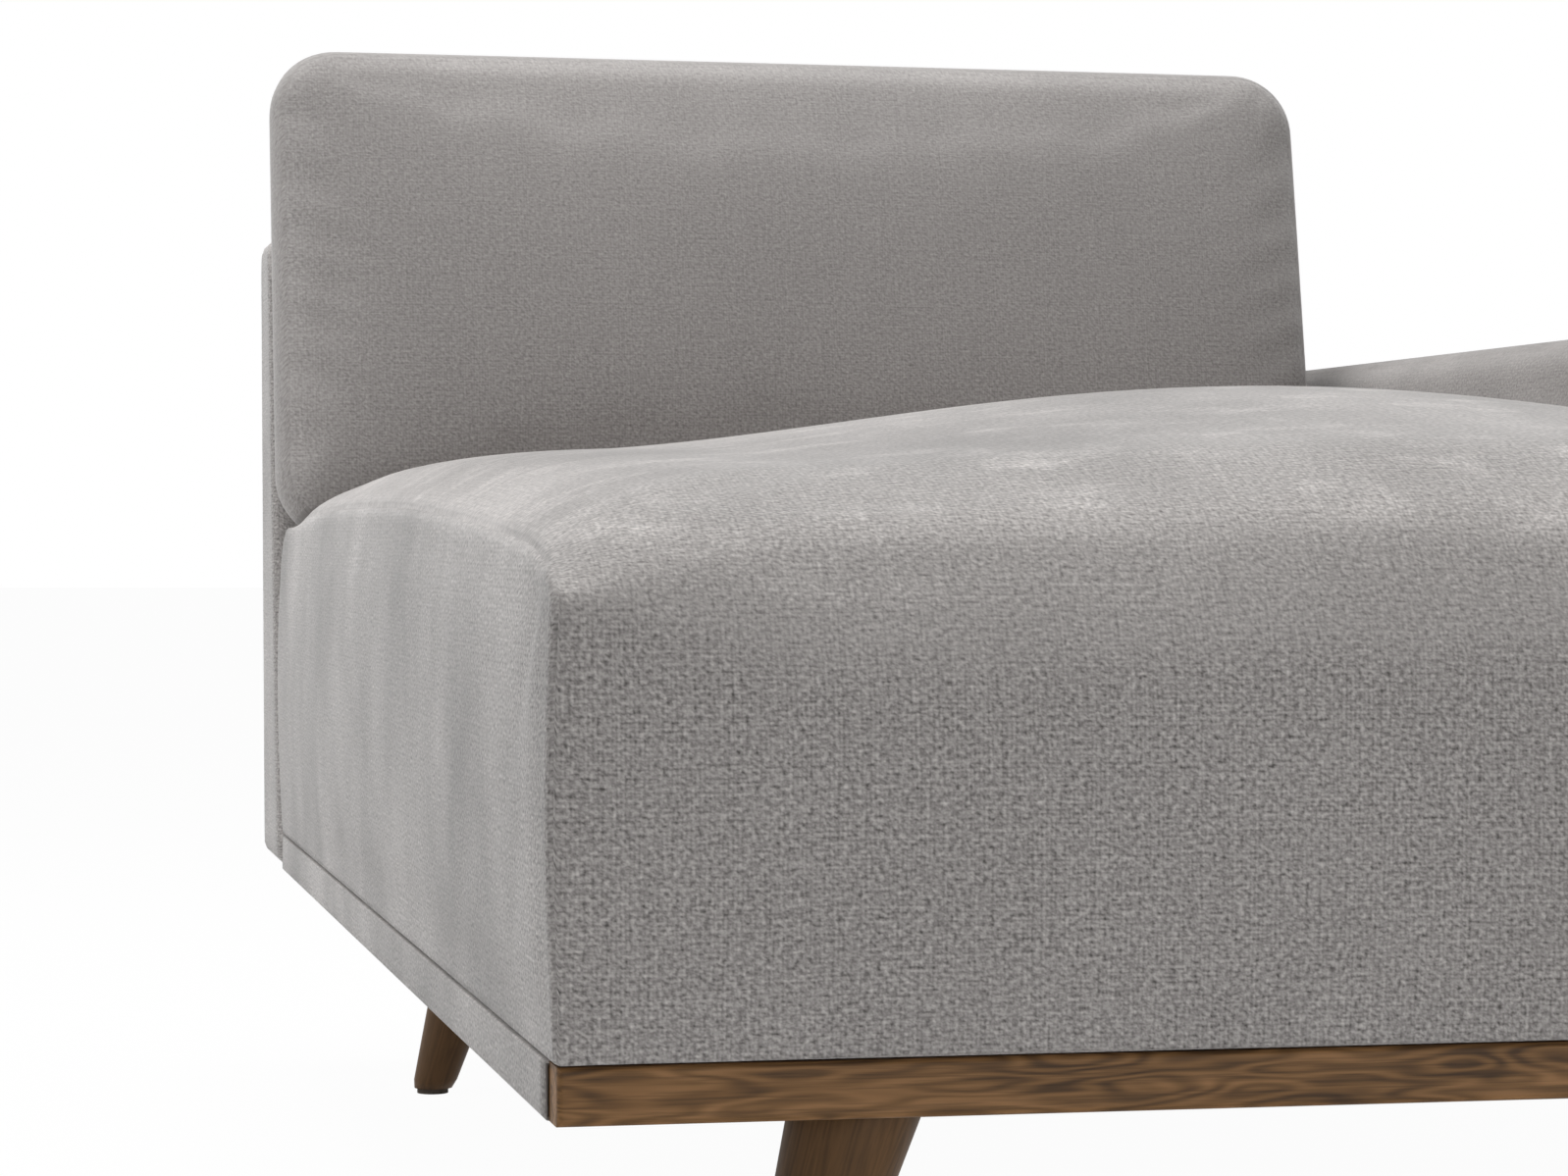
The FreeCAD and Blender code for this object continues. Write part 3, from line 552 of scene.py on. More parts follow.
def walnut(name, look, eye, turn=(0, 0, 0), shift=(0, 0, 0), darken=1.0, figure=1.0):
    # flame figure along X after the turn: contour lines, the sine of a smooth stretched noise, over slower
    # dark patches, with fine fibres and pores along the grain
    finish = Finish(name, Roughness=0.5, Specular_IOR_Level=0.25)
    x, y, z = finish.parts(finish.place((1, 1, 1), turn, shift))

    def grainNoise(along, across, detail, rough):
        return finish.noise(finish.joined(x * along, y * across, z * across), detail, rough)

    length, width = eye
    fibres = grainNoise(*look["fibres"], detail=3.0, rough=0.6)
    field = finish.noise(finish.joined(x / length, y / width, z / width), detail=1.2, rough=0.4)
    field = field + fibres * look["fibreBend"]
    contours = (field * (look["contours"] * 2 * math.pi)).sine() * 0.5 + 0.5
    patchLength, patchWidth = look["patchSize"][0] * length, look["patchSize"][1] * width
    slow = finish.joined(x / patchLength, y / patchWidth, z / patchWidth + 7.0)
    patches = finish.noise(slow, detail=2.0)
    level = contours * look["contourShare"] + patches * look["patchShare"] + fibres * look["fibreShare"]
    level = look["midAt"] + (level - look["midAt"]) * figure
    pores = grainNoise(*look["pores"], detail=2.0, rough=0.6)
    pit = finish.span(pores, *look["poreRange"], (1 - look["poreDepth"] * figure) * darken, darken)
    finish.shade(finish.ramp(level, look), pit)
    roughest, less = look["rough"]
    finish.feed("Roughness", roughest - level * less)
    finish.bump(pores * look["poreRelief"] + fibres * look["fibreRelief"], look)
    return finish.material


plainLook = {  # dark and pale shade, grains in a metre along each axis, roughness
    "frameWood": (linear(178, 150, 112), linear(206, 181, 143), (3, 70, 70), 0.7),
    "hardboard": (linear(108, 82, 58), linear(138, 108, 80), (260, 260, 260), 0.8),
    "brightSteel": (linear(150, 150, 150), linear(186, 186, 184), (90, 90, 700), 0.38),
    "blackSteel": (linear(24, 24, 25), linear(38, 38, 39), (500, 500, 500), 0.55),
    "felt": (linear(70, 64, 58), linear(104, 96, 88), (800, 800, 800), 1.0),
    "filling": (linear(214, 206, 186), linear(232, 226, 208), (300, 300, 300), 1.0),
}
plainGrain = {"darkAt": 0.3, "paleAt": 0.7, "roughSpread": 0.08, "relief": 0.2 * mm, "reliefStrength": 0.2}


def plain(name, metallic=0.0):
    # two shades of one stuff, mixed by a noise at the scale of its grain
    dark, pale, scale, rough = plainLook[name]
    finish = Finish(name, Roughness=rough, Metallic=metallic)
    look = dict(plainGrain, dark=dark, pale=pale)
    more = look["roughSpread"]
    grain = finish.noise(finish.place(scale), detail=4.0, rough=0.6)
    finish.feed("Base Color", finish.ramp(grain, look))
    finish.feed("Roughness", finish.span(grain, look["darkAt"], look["paleAt"], rough + more, rough - more))
    finish.bump(grain, look)
    return finish.material


liningLook = {
    "pitch": 1.4 * mm,
    "fibres": 700.0,  # in a metre
    "pointShare": 0.5,
    "fibreShare": 0.6,
    "dark": linear(20, 20, 21),
    "pale": linear(46, 46, 47),
    "darkAt": 0.25,
    "paleAt": 0.85,
    "relief": 0.15 * mm,
    "reliefStrength": 0.4,
}


def spunLining(name, look):
    # pressed points on a square grid over a fibrous ground
    finish = Finish(name, Roughness=0.9, Sheen_Weight=0.15)
    sheetUv = finish.clothMap()
    u, v, _ = finish.parts(sheetUv)
    points = u.ribs(look["pitch"]) * v.ribs(look["pitch"])
    fibres = finish.noise(sheetUv, detail=4.0, rough=0.65, scale=look["fibres"])
    level = points * look["pointShare"] + fibres * look["fibreShare"]
    finish.feed("Base Color", finish.ramp(level, look))
    finish.bump(level, look)
    return finish.material


webLook = {
    "rib": 2.4 * mm,
    "yarn": 1.2 * mm,
    "stripe": 20 * mm,
    "stripeEdge": (0.1, 0.16),
    "ribShare": 0.35,
    "yarnShare": 0.25,
    "stripeShare": 0.5,
    "dark": linear(30, 30, 32),
    "pale": linear(196, 188, 172),
    "darkAt": 0.1,
    "paleAt": 1.0,
    "ribRelief": 0.6,
    "yarnRelief": 0.4,
    "relief": 0.3 * mm,
    "reliefStrength": 0.4,
}


def ribbedWeb(name, look, alongY):
    # elastic web: ribs across the strap, fine yarns along it, and a pale line every few ribs
    finish = Finish(name, Roughness=0.8)
    x, y, _ = finish.parts(finish.place())
    run, wide = (y, x) if alongY else (x, y)
    ribs, yarns = run.ribs(look["rib"]), wide.ribs(look["yarn"])
    line = finish.span(wide.ribs(look["stripe"]), *look["stripeEdge"], 1.0, 0.0)
    tone = ribs * look["ribShare"] + yarns * look["yarnShare"] + line * look["stripeShare"]
    finish.feed("Base Color", finish.ramp(tone, look))
    finish.bump(ribs * look["ribRelief"] + yarns * look["yarnRelief"], look)
    return finish.material


clothFinish = wovenCloth("greyWeave", clothLook)
backClothFinish = wovenCloth("greyWeaveSoft", clothLook | softer)
trimFinish = walnut("walnutTrim", walnutLook, **trimLook)
lean = math.radians(16)  # splay of the legs
legFinish = {}
for side, tilt in (("Left", -lean), ("Right", lean)):
    upright = (0, math.radians(90) + tilt, 0)
    legFinish[side.lower()] = walnut(f"walnutLeg{side}", walnutLook, turn=upright, **legLook)
liningFinish = spunLining("blackLining", liningLook)
webFinish = {
    "along": ribbedWeb("webAlong", webLook, True),
    "across": ribbedWeb("webAcross", webLook, False),
}
plainFinish = {name: plain(name, 1.0 if name == "brightSteel" else 0.0) for name in plainLook}
print("finishes made")


def dress(piece, finish):
    piece.data.materials.clear()
    piece.data.materials.append(finish)


def stand(piece, finish, body, slot, *replaced):
    dress(piece, finish)
    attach(piece, body)
    if replaced:
        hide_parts(*replaced)
    return piece


# seat cushion

seatLow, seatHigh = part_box("seat_cushion")
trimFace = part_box("front_trim")[0].y
seat = {
    "cells": (70, 112, 28),
    "crowd": 0.8,
    "height": 240 * mm,  # of the box that is bent to the crown
    "setBack": 2 * mm,
    "overhang": 4 * mm,  # past the left rail
    "seamRound": 2 * mm,
    "topSeamRound": 9 * mm,
    "frontSeamRound": 8 * mm,
    "topSeamFrom": (0.3, 1),  # lattice shares over which a seam takes up its wider round
    "frontSeamFrom": (0.85, 1),
    "hemSeamFrom": (-1, -0.7),
    "droop": 8 * mm,  # of the front hem, past the trim's face
    "droopWave": (1.2 * mm, 310 * mm, 1, 3.1),  # height, length, phase, and a slower beat
    "droopPast": (2 * mm, 8 * mm),
    "droopTop": 0.3,  # share of the height where the droop ends
    "frontRound": (125 * mm, 0.32),  # reach, share of the height
    "frontRoundAtSides": 0.32,
    "frontRoundFade": 8,  # power of the share towards the sides
    "rearRound": (42 * mm, 0.14),
    "hemRound": (9 * mm, 0.035),
    "sideBulge": 4 * mm,
    "rightBulge": 1 * mm,
    "frontBulge": 4 * mm,
    "sidePower": 6,  # keeps a bulge near its side
    "frontPower": 12,
    "edgeTop": 451 * mm,
    "edgeFall": 22 * mm,
    "edgeArch": (850 * mm, 750 * mm),  # crest from the front, half length
    "shoulder": (34 * mm, 37 * mm),  # rise and reach
    "dome": 38 * mm,
    "domeFullness": 1.5,
    "domeAt": (485 * mm, 445 * mm),  # from the left side, from the front
    "domeReach": (354 * mm, 350 * mm, 445 * mm),  # sideways, to the front, to the rear
    "press": (1215 * mm, 1372 * mm),  # from where to where it falls to its height under the back cushion
    "pressHeight": 429 * mm,
    "pressLift": 14 * mm,  # more at the sides
    "pressEdge": 12 * mm,
    "stitchDepth": 0.7 * mm,
    "puff": {
        "pressure": 0.5, "stiffness": 12.0, "bending": 1.2,
        "spare": 0.006, "frames": 10, "reach": 2.5 * mm,
    },
    "stiffEdge": 50 * mm,  # the foam keeps the seams straight
    "stillRight": (0.97, 1),  # lattice shares over which the stuffing fades out
    "stillRear": (0.45, 0.7),
    "stillLow": (-1, -0.6),
    "heldBelow": -0.98,
}
seatWidth = seatHigh.x - seatLow.x
seatDepth = seatHigh.y - seatLow.y


def seatTop(x, d):
    # height of the crown: a parabola along the edges, a quick shoulder inside them that settles by an
    # exponential, a dome towards the front, and a smooth fall to what the back cushion presses down
    inset = np.clip(np.minimum(x, seatWidth - x), 0, None)
    archAt, archHalf = seat["edgeArch"]
    edge = seat["edgeTop"] - seat["edgeFall"] * ((d - archAt) / archHalf) ** 2
    rise, reach = seat["shoulder"]
    shoulder = rise * (1 - np.exp(-inset / reach))
    sideways, ahead, behind = seat["domeReach"]
    domeX, domeD = seat["domeAt"]
    domeAcross = np.clip(1 - ((x - domeX) / sideways) ** 2, 0, None) ** seat["domeFullness"]
    domeAlong = np.exp(-(((d - domeD) / np.where(d < domeD, ahead, behind)) ** 2))
    share = smoothStep(*seat["press"], d)
    pressed = seat["pressHeight"] + seat["pressLift"] * np.exp(-inset / seat["pressEdge"])
    return (edge + shoulder + seat["dome"] * domeAcross * domeAlong) * (1 - share) + pressed * share


def seatForm(p):
    # an eased box whose level is carried up to the crown; the sides and the front bulge by a half sine of
    # the level, and the front hem droops past the trim
    height = seat["height"]
    half = np.array([seatWidth, seatDepth, height]) / 2
    rounds = [seat["hemRound"], seat["frontRound"], seat["hemRound"], seat["rearRound"]]
    across, up = cornerRounds(p, [(reach, share * height) for reach, share in rounds])
    sideShare = np.abs(p[:, 0]) ** seat["frontRoundFade"]
    atFrontTop = (p[:, 1] < 0) & (p[:, 2] > 0)
    up = np.where(atFrontTop, up * (1 - (1 - seat["frontRoundAtSides"]) * sideShare), up)
    high = smoothStep(*seat["topSeamFrom"], p[:, 2])
    ahead = smoothStep(*seat["frontSeamFrom"], -p[:, 1]) * smoothStep(*seat["hemSeamFrom"], p[:, 2])
    seamRound = seat["seamRound"] + (seat["frontSeamRound"] - seat["seamRound"]) * ahead
    seamRound = seamRound + (seat["topSeamRound"] - seamRound) * high
    x, y, z = easedBox(p, half, seamRound, across, up).T
    level = z / height + 0.5
    fromLeft, fromFront = x + half[0], y + half[1]
    belly = np.sin(np.pi * np.clip(level, 0, 1))
    leftSide = np.clip(-x / half[0], 0, 1) ** seat["sidePower"]
    rightSide = np.clip(x / half[0], 0, 1) ** seat["sidePower"]
    frontSide = np.clip(-y / half[1], 0, 1) ** seat["frontPower"]
    top = seatTop(fromLeft, fromFront)
    atX = (seatLow.x + seatHigh.x) / 2 + x - leftSide * (seat["overhang"] + seat["sideBulge"] * belly)
    atX += rightSide * seat["rightBulge"] * belly
    bulge = frontSide * seat["frontBulge"] * (belly - 0.5)
    atY = (seatLow.y + seatHigh.y) / 2 + y + seat["setBack"] - bulge
    atZ = seatLow.z + level * (top - seatLow.z)
    pastTrim = smoothStep(*seat["droopPast"], trimFace - atY)
    wave, stretch, phase, beat = seat["droopWave"]
    droop = seat["droop"] + wave * np.sin(atX * 2 * np.pi / stretch + phase) * np.cos(atX * beat / stretch)
    atZ = atZ - droop * pastTrim * (1 - smoothStep(0, seat["droopTop"], level))
    return np.stack([atX, atY, atZ], axis=-1)


seatPiece, seatGrid, seatCells = softPiece("seatCushion", seatForm, seat)
gapX, gapY, gapZ = ((1 - np.abs(seatGrid)) * np.array([seatWidth, seatDepth, seat["height"]]) / 2).T
seamGap = np.where(gapX < tiny, np.minimum(gapY, gapZ), gapX)
freedom = smoothStep(0, seat["stiffEdge"], seamGap)
freedom *= 1 - smoothStep(*seat["stillRight"], seatGrid[:, 0])
freedom *= 1 - smoothStep(*seat["stillRear"], seatGrid[:, 1])
freedom *= smoothStep(*seat["stillLow"], seatGrid[:, 2])
puff(seatPiece, seatGrid[:, 2] < seat["heldBelow"], freedom, seat["puff"])
sewSeams(seatPiece, seatGrid, 0, seat["stitchDepth"])
stand(seatPiece, clothFinish, "seat", "upholstery", "seat_cushion", "seat_cushion_core")
print("seat cushion made")

# backrest and arm

def crestedBox(p, half, look):
    # an eased box with a rounder crest than hem
    crest, hem = look["crest"], look["hem"]
    turns = cornerRounds(p, [(hem, hem), (crest, crest)] * 2)
    return easedBox(p, half, look["seamRound"], *turns)


restLow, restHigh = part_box("back_upholstery")
backrest = {
    "cells": (56, 12, 40),
    "crowd": 0.6,
    "foot": 614 * mm,  # front line at the bottom
    "thick": 150 * mm,
    "frontRun": 102 * mm,
    "rearRun": 32 * mm,
    "crest": 30 * mm,
    "hem": 16 * mm,
    "seamRound": 14 * mm,
    "pillow": 3 * mm,  # swell of the rear
    "pillowShape": (4, 1),  # spread and fullness
    "stitchDepth": 0.8 * mm,
}


def backrestForm(p):
    # a crested box between a front and a rear line that lean back with the level
    low, high = np.array(restLow), np.array(restHigh)
    half = (high - low) / 2
    half[1] = backrest["thick"] / 2
    x, y, z = crestedBox(p, half, backrest).T
    level = (z + half[2]) / (2 * half[2])
    shape = backrest["pillowShape"]
    swell = backrest["pillow"] * crownShare(x / half[0], *shape) * crownShare(z / half[2], *shape)
    front = backrest["foot"] + backrest["frontRun"] * level
    rear = backrest["foot"] + backrest["thick"] + backrest["rearRun"] * level
    share = y / (2 * half[1]) + 0.5
    atY = front + (rear - front) * share + swell * (p[:, 1] > 1 - tiny)
    return np.stack([x + (low[0] + high[0]) / 2, atY, z + (low[2] + high[2]) / 2], axis=-1)


restPiece, restGrid, _ = softPiece("backrestCover", backrestForm, backrest)
sewSeams(restPiece, restGrid, 0, backrest["stitchDepth"])
stand(restPiece, clothFinish, "frame", "upholstery", "back_upholstery")

armLow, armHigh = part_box("arm_upholstery")
arm = {
    "cells": (14, 64, 36),
    "crowd": 0.55,
    "crest": 40 * mm,
    "hem": 20 * mm,
    "seamRound": 24 * mm,
    "stitchDepth": 0.8 * mm,
}


def armForm(p):
    # a crested box that fills the arm's own bounds
    low, high = np.array(armLow), np.array(armHigh)
    return crestedBox(p, (high - low) / 2, arm) + (low + high) / 2


armPiece, armGrid, _ = softPiece("armCover", armForm, arm)
sewSeams(armPiece, armGrid, 0, arm["stitchDepth"])
stand(armPiece, backClothFinish, "frame", "upholstery", "arm_upholstery")
print("backrest and arm made")

# back cushion

backLow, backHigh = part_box("back_cushion")
backCushion = {
    "cells": (84, 10, 56),
    "crowd": 0.55,
    "size": (850 * mm, 150 * mm, 396 * mm),
    "footLevel": 413 * mm,  # where its rear lower corner would be if it were square
    "clear": 3 * mm,  # from the backrest
    "edge": 66 * mm,
    "cornerRound": 52 * mm,
    "seamRound": 30 * mm,
    "crownAcross": (3.0, 0.75),  # spread and fullness
    "crownUp": (2.6, 0.75),
    "gather": (1.5 * mm, 32 * mm, 46 * mm),  # depth, reach and spacing of the creases at the side seams
    "gatherSlant": 0.6,
    "gatherWaver": 2,
    "gatherStart": 0.4,  # share of the reach where a crease is at its deepest
    "gatherFade": (4, 1),
    "stitchDepth": 1.0 * mm,
    "puff": {
        "pressure": 1.0, "stiffness": 10.0, "bending": 4.0,
        "spare": 0.005, "frames": 14, "reach": 2 * mm,
    },
    "stillRear": (-0.6, 0.6),
    "stillLow": (-1, -0.7),
}


def backCushionForm(p):
    # an eased box that is thin at its seams, swollen by the product of two crowns, and leaned back
    width, thick, height = backCushion["size"]
    half = np.array([backCushion["edge"], width, height]) / 2
    corner = backCushion["cornerRound"]
    y, x, z = easedBox(p[:, [1, 0, 2]], half, backCushion["seamRound"], corner, corner).T
    swell = crownShare(x / half[1], *backCushion["crownAcross"])
    swell = swell * crownShare(z / half[2], *backCushion["crownUp"])
    y = y * (1 + (thick / backCushion["edge"] - 1) * swell)
    # slanting creases run in from both sides of the front and die away
    depth, reach, step = backCushion["gather"]
    gap = half[1] - np.abs(x)
    phase = 2 * np.pi * (z + backCushion["gatherSlant"] * gap) / step
    crease = np.sin(phase + backCushion["gatherWaver"] * np.sin(z / step) + np.sign(x))
    fade = np.exp(-gap / reach) * np.clip(gap / (backCushion["gatherStart"] * reach), 0, 1)
    fade = fade * crownShare(z / half[2], *backCushion["gatherFade"])
    y = y + depth * crease * fade * (p[:, 1] < tiny - 1)
    local = np.stack([x, y - thick / 2, z + half[2]], axis=-1)
    slope = backrest["frontRun"] / (restHigh.z - restLow.z)
    footY = backrest["foot"] + (backCushion["footLevel"] - restLow.z) * slope - backCushion["clear"]
    turn = np.array(Matrix.Rotation(-math.atan(slope), 3, "X"))
    return local @ turn.T + np.array([(backLow.x + backHigh.x) / 2, footY, backCushion["footLevel"]])


backPiece, backGrid, backCells = softPiece("backCushion", backCushionForm, backCushion, (1, 0, 2))
rim = np.abs(backGrid[:, [0, 2]]).max(axis=1) > 1 - tiny
freedom = 1 - smoothStep(*backCushion["stillRear"], backGrid[:, 1])
freedom *= smoothStep(*backCushion["stillLow"], backGrid[:, 2])
puff(backPiece, rim, freedom, backCushion["puff"])
sewSeams(backPiece, backGrid, 1, backCushion["stitchDepth"])
stand(backPiece, backClothFinish, "back_rest_cushion", "upholstery", "back_cushion", "back_cushion_core")
print("back cushion made")

# zips

zipper = {
    "lift": 0.7 * mm,  # off the cover
    "tapeThickness": 0.6 * mm,
    "tapeWidth": 22 * mm,
    "teethWidth": 6 * mm,
    "teethEdge": 0.4 * mm,
    "toothPitch": 1.6 * mm,
    "twill": 0.8 * mm,
    "teethShare": 0.6,
    "twillShare": 0.3,
    "dark": linear(52, 50, 49),
    "pale": linear(128, 124, 120),
    "darkAt": 0.0,
    "paleAt": 0.6,
    "relief": 0.4 * mm,
    "reliefStrength": 0.5,
    "endReach": 1 * mm,  # how much of the strip counts as its end
    "slider": (9 * mm, 14 * mm, 3 * mm),
    "tab": (6 * mm, 26 * mm, 1.2 * mm),
    "pullCells": (6, 6, 4),
    "pullCrowd": 0.5,
    "pullRound": 0.7,  # share of half the thickness
}
seatZip = {"along": 0.86, "band": (-0.12, 0.06), "panel": 3, "axis": 2}  # on the rear, across its height
backZip = {"along": 0.8, "band": (-0.3, 0.3), "panel": 4, "axis": 1}  # underneath, across the thickness


def zipTape(name, look):
    # dark tape on the zip map: teeth are a fast sine along it, in a narrow band at its middle
    finish = Finish(name, Roughness=0.7)
    u, v, _ = finish.parts(finish.clothMap())
    band = finish.span(v.size(), look["teethWidth"] / 2, look["teethWidth"] / 2 - look["teethEdge"])
    teeth = u.ribs(look["toothPitch"])
    twill = (u + v.size()).ribs(look["twill"])
    tone = band * teeth * look["teethShare"] + (1.0 - band) * twill * look["twillShare"]
    finish.feed("Base Color", finish.ramp(tone, look))
    finish.bump(tone, look)
    return finish.material


def zipAcross(name, piece, p, cells, run, body):
    # a strip of the cover's own surface, lifted along its normals; its band is a range of one lattice axis
    # of a panel, and it runs the other way for a share of the width
    quads, panels = cells
    axis, (low, high) = run["axis"], run["band"]
    centre = p[quads].mean(axis=1)
    inside = (panels == run["panel"]) & (np.abs(centre[:, 0]) < run["along"])
    inside &= (centre[:, axis] > low) & (centre[:, axis] < high)
    kept, faces = np.unique(quads[inside], return_inverse=True)
    normals = vertexRows(piece.data, "normal")[kept]
    points = vertexRows(piece.data, "co")[kept] + normals * zipper["lift"]
    strip = makePiece(name, points, faces.reshape(-1, 4))
    share = p[kept, axis]
    middle = (share.max() + share.min()) / 2
    v = (share - middle) / max(np.ptp(share), tiny) * zipper["tapeWidth"]
    mapFlat(strip, np.stack([points[:, 0], v], axis=-1))
    wall = strip.modifiers.new("tape", "SOLIDIFY")
    wall.thickness, wall.offset = zipper["tapeThickness"], -1
    stand(strip, zipFinish, body, "lining")
    end = points[points[:, 0] > points[:, 0].max() - zipper["endReach"]].mean(axis=0)
    return end, normals.mean(axis=0)


def zipPull(name, end, outwards, downwards, body):
    # slider and tab: eased boxes standing on the strip
    outwards = outwards / np.linalg.norm(outwards)
    downwards = np.array(downwards, float)
    sideways = np.cross(outwards, downwards)
    axes = np.stack([sideways, -downwards, outwards])
    p, quads, _ = shellLattice(zipper["pullCells"], zipper["pullCrowd"])
    cells = quads if np.linalg.det(axes) > 0 else quads[:, ::-1]
    forms = []
    for size, shift in ((zipper["slider"], 0), (zipper["tab"], zipper["slider"][2])):
        half = np.array(size) / 2
        turn = half[2] * zipper["pullRound"]
        box = easedBox(p, half, turn, turn, turn)
        box[:, 2] += half[2] + shift
        forms.append((box @ axes + end, cells))
    points, faces = joinedForms(forms)
    stand(makePiece(name, points, faces), plainFinish["brightSteel"], body, "bright_steel")


zipFinish = zipTape("zipTape", zipper)
end, outwards = zipAcross("seatZip", seatPiece, seatGrid, seatCells, seatZip, "seat")
zipPull("seatZipPull", end, outwards, (0, 0, -1), "seat")
zipAcross("backZip", backPiece, backGrid, backCells, backZip, "back_rest_cushion")
print("zips made")

# wood and hardware

legs = {
    "ring": 48,
    "rows": 26,
    "topRadius": 31.5 * mm,
    "footRadius": 15 * mm,
    "ease": 1.5 * mm,
    "plateHalf": 35 * mm,
}


def turnedLeg(top, sideways, low, high):
    # a taper whose axis leans by the splay: for each angle and level, the place where that level cuts it
    angles = np.linspace(0, 2 * np.pi, legs["ring"], endpoint=False)
    levels = np.linspace(low, high, legs["rows"])
    angle, level = np.meshgrid(angles, levels)
    run = math.tan(lean) * high
    slope = (legs["topRadius"] - legs["footRadius"]) / (high / math.cos(lean))
    tilt = -sideways * math.sin(lean) * np.cos(angle)
    along = (level - legs["footRadius"] * tilt) / (math.cos(lean) + slope * tilt)
    radius = legs["footRadius"] + slope * along
    edge = np.minimum(level - low, high - level)
    radius = radius - np.clip(legs["ease"] - edge, 0, None)
    onAxis = top[0] - sideways * run + sideways * math.sin(lean) * along
    x = onAxis + radius * np.cos(angle) * math.cos(lean)
    return closedTube(np.stack([x, top[1] + radius * np.sin(angle), level], axis=-1), True)


plateLow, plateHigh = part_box("leg_plates")
plateHalf = legs["plateHalf"]
legSpots = [
    (x, y)
    for x in (plateLow.x + plateHalf, plateHigh.x - plateHalf)
    for y in (plateLow.y + plateHalf, plateHigh.y - plateHalf)
]
for side, sideways in (("left", 1), ("right", -1)):
    low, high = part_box(f"legs_{side}")
    spots = [spot for spot in legSpots if (spot[0] < 0) == (side == "left")]
    points, faces = joinedForms([turnedLeg(spot, sideways, low.z, high.z) for spot in spots])
    piece = makePiece(f"{side}Legs", points, faces)
    stand(piece, legFinish[side], "frame", "stained_wood", f"legs_{side}")
dress(nodes["front_trim"], trimFinish)
slotFinish = {
    "frame_wood": "frameWood", "hardboard": "hardboard", "bright_steel": "brightSteel",
    "black_steel": "blackSteel", "felt": "felt", "filling": "filling",
}
for part in frame["record"]["subparts"]:
    if part["material_slot"] in slotFinish:
        dress(nodes[part["node"]], plainFinish[slotFinish[part["material_slot"]]])
screws = {
    "radius": 3.6 * mm,
    "rise": 2.2 * mm,
    "spread": 26 * mm,
    "slot": 0.7 * mm,
    "slotReach": 2.3 * mm,
    "slotRise": 0.55,  # share of the rise that is left in the cross
    "crown": 0.02,  # where the first ring lies, as a share of the dome
    "ring": 32,
    "rows": 10,
}


def screwHead(x, y, z):
    # a dome that looks down, with a cross sunk into its crown
    angles = np.linspace(0, 2 * np.pi, screws["ring"], endpoint=False)
    angle, share = np.meshgrid(angles, np.linspace(screws["crown"], 1, screws["rows"]))
    reach = screws["radius"] * np.sin(share * np.pi / 2)
    across, along = reach * np.cos(angle), reach * np.sin(angle)
    inSlot = np.minimum(np.abs(across), np.abs(along)) < screws["slot"]
    sunk = np.where(inSlot & (reach < screws["slotReach"]), screws["slotRise"], 1)
    drop = screws["rise"] * np.cos(share * np.pi / 2) * sunk
    return closedTube(np.stack([x + across, y + along, z - drop], axis=-1), True)


corners = [(a * screws["spread"], b * screws["spread"]) for a in (-1, 1) for b in (-1, 1)]
heads = [screwHead(x + a, y + b, plateLow.z) for x, y in legSpots for a, b in corners]
stand(makePiece("plateScrews", *joinedForms(heads)), plainFinish["brightSteel"], "frame", "bright_steel")
print("wood and hardware made")

# platform cloth

bands = {
    "ply": 1.5 * mm,
    "turn": 1.6 * mm,
    "turnSteps": 4,
    "hem": 22 * mm,
    "proud": 2 * mm,
    "stations": 80,
}


def wrappedBand(name, node, outer):
    # hem, outer face and hem of a band, with quarter turns between them, carried along the rail
    low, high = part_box(node)
    edge, sign = (low.x - bands["proud"], 1) if outer < 0 else (high.x, -1)
    turns = np.linspace(0, np.pi / 2, bands["turnSteps"])

    def path(inset):
        r = bands["turn"] - inset
        arcX, arcZ = r - r * np.sin(turns), r - r * np.cos(turns)
        upper, lower = high.z - inset, low.z + inset
        x = np.concatenate([[bands["hem"]], inset + arcX, inset + arcX[::-1], [bands["hem"]]])
        z = np.concatenate([[upper], upper - arcZ, lower + arcZ[::-1], [lower]])
        return np.stack([x * sign, z], axis=-1)

    outside, inside = path(0), path(bands["ply"])
    profile = np.concatenate([outside, inside[::-1]])
    length = np.append(0, np.cumsum(np.linalg.norm(np.diff(profile, axis=0), axis=1)))
    y = np.linspace(low.y, high.y, bands["stations"])
    spine = np.stack([np.full_like(y, edge), y, np.zeros_like(y)], axis=-1)
    points, faces = carried(profile, spine, (1, 0, 0), (0, 0, 1))
    piece = makePiece(name, points, faces)
    uv = np.stack([np.repeat(y, len(profile)), -np.tile(length, len(y))], axis=-1)
    mapFlat(piece, uv)
    markFacing(piece)
    stand(piece, clothFinish, "frame", "upholstery", node)


wrappedBand("leftRailBand", "left_rail_cover", -1)
wrappedBand("rightRailBand", "right_rail_cover", 1)

sheets = {
    "step": 14 * mm,
    "window": 74 * mm,
    "dustSag": 1.6 * mm,
    "deckSag": 1.0 * mm,
    "tuft": 0.25 * mm,  # height of the puckers between staples
    "tuftReach": 30 * mm,
    "flatRim": 0.001 * mm,
    "stapleStep": 45 * mm,
    "stapleInset": 9 * mm,
    "staple": (11 * mm, 0.7 * mm),  # length and half width
    "stapleTurns": 5,
}


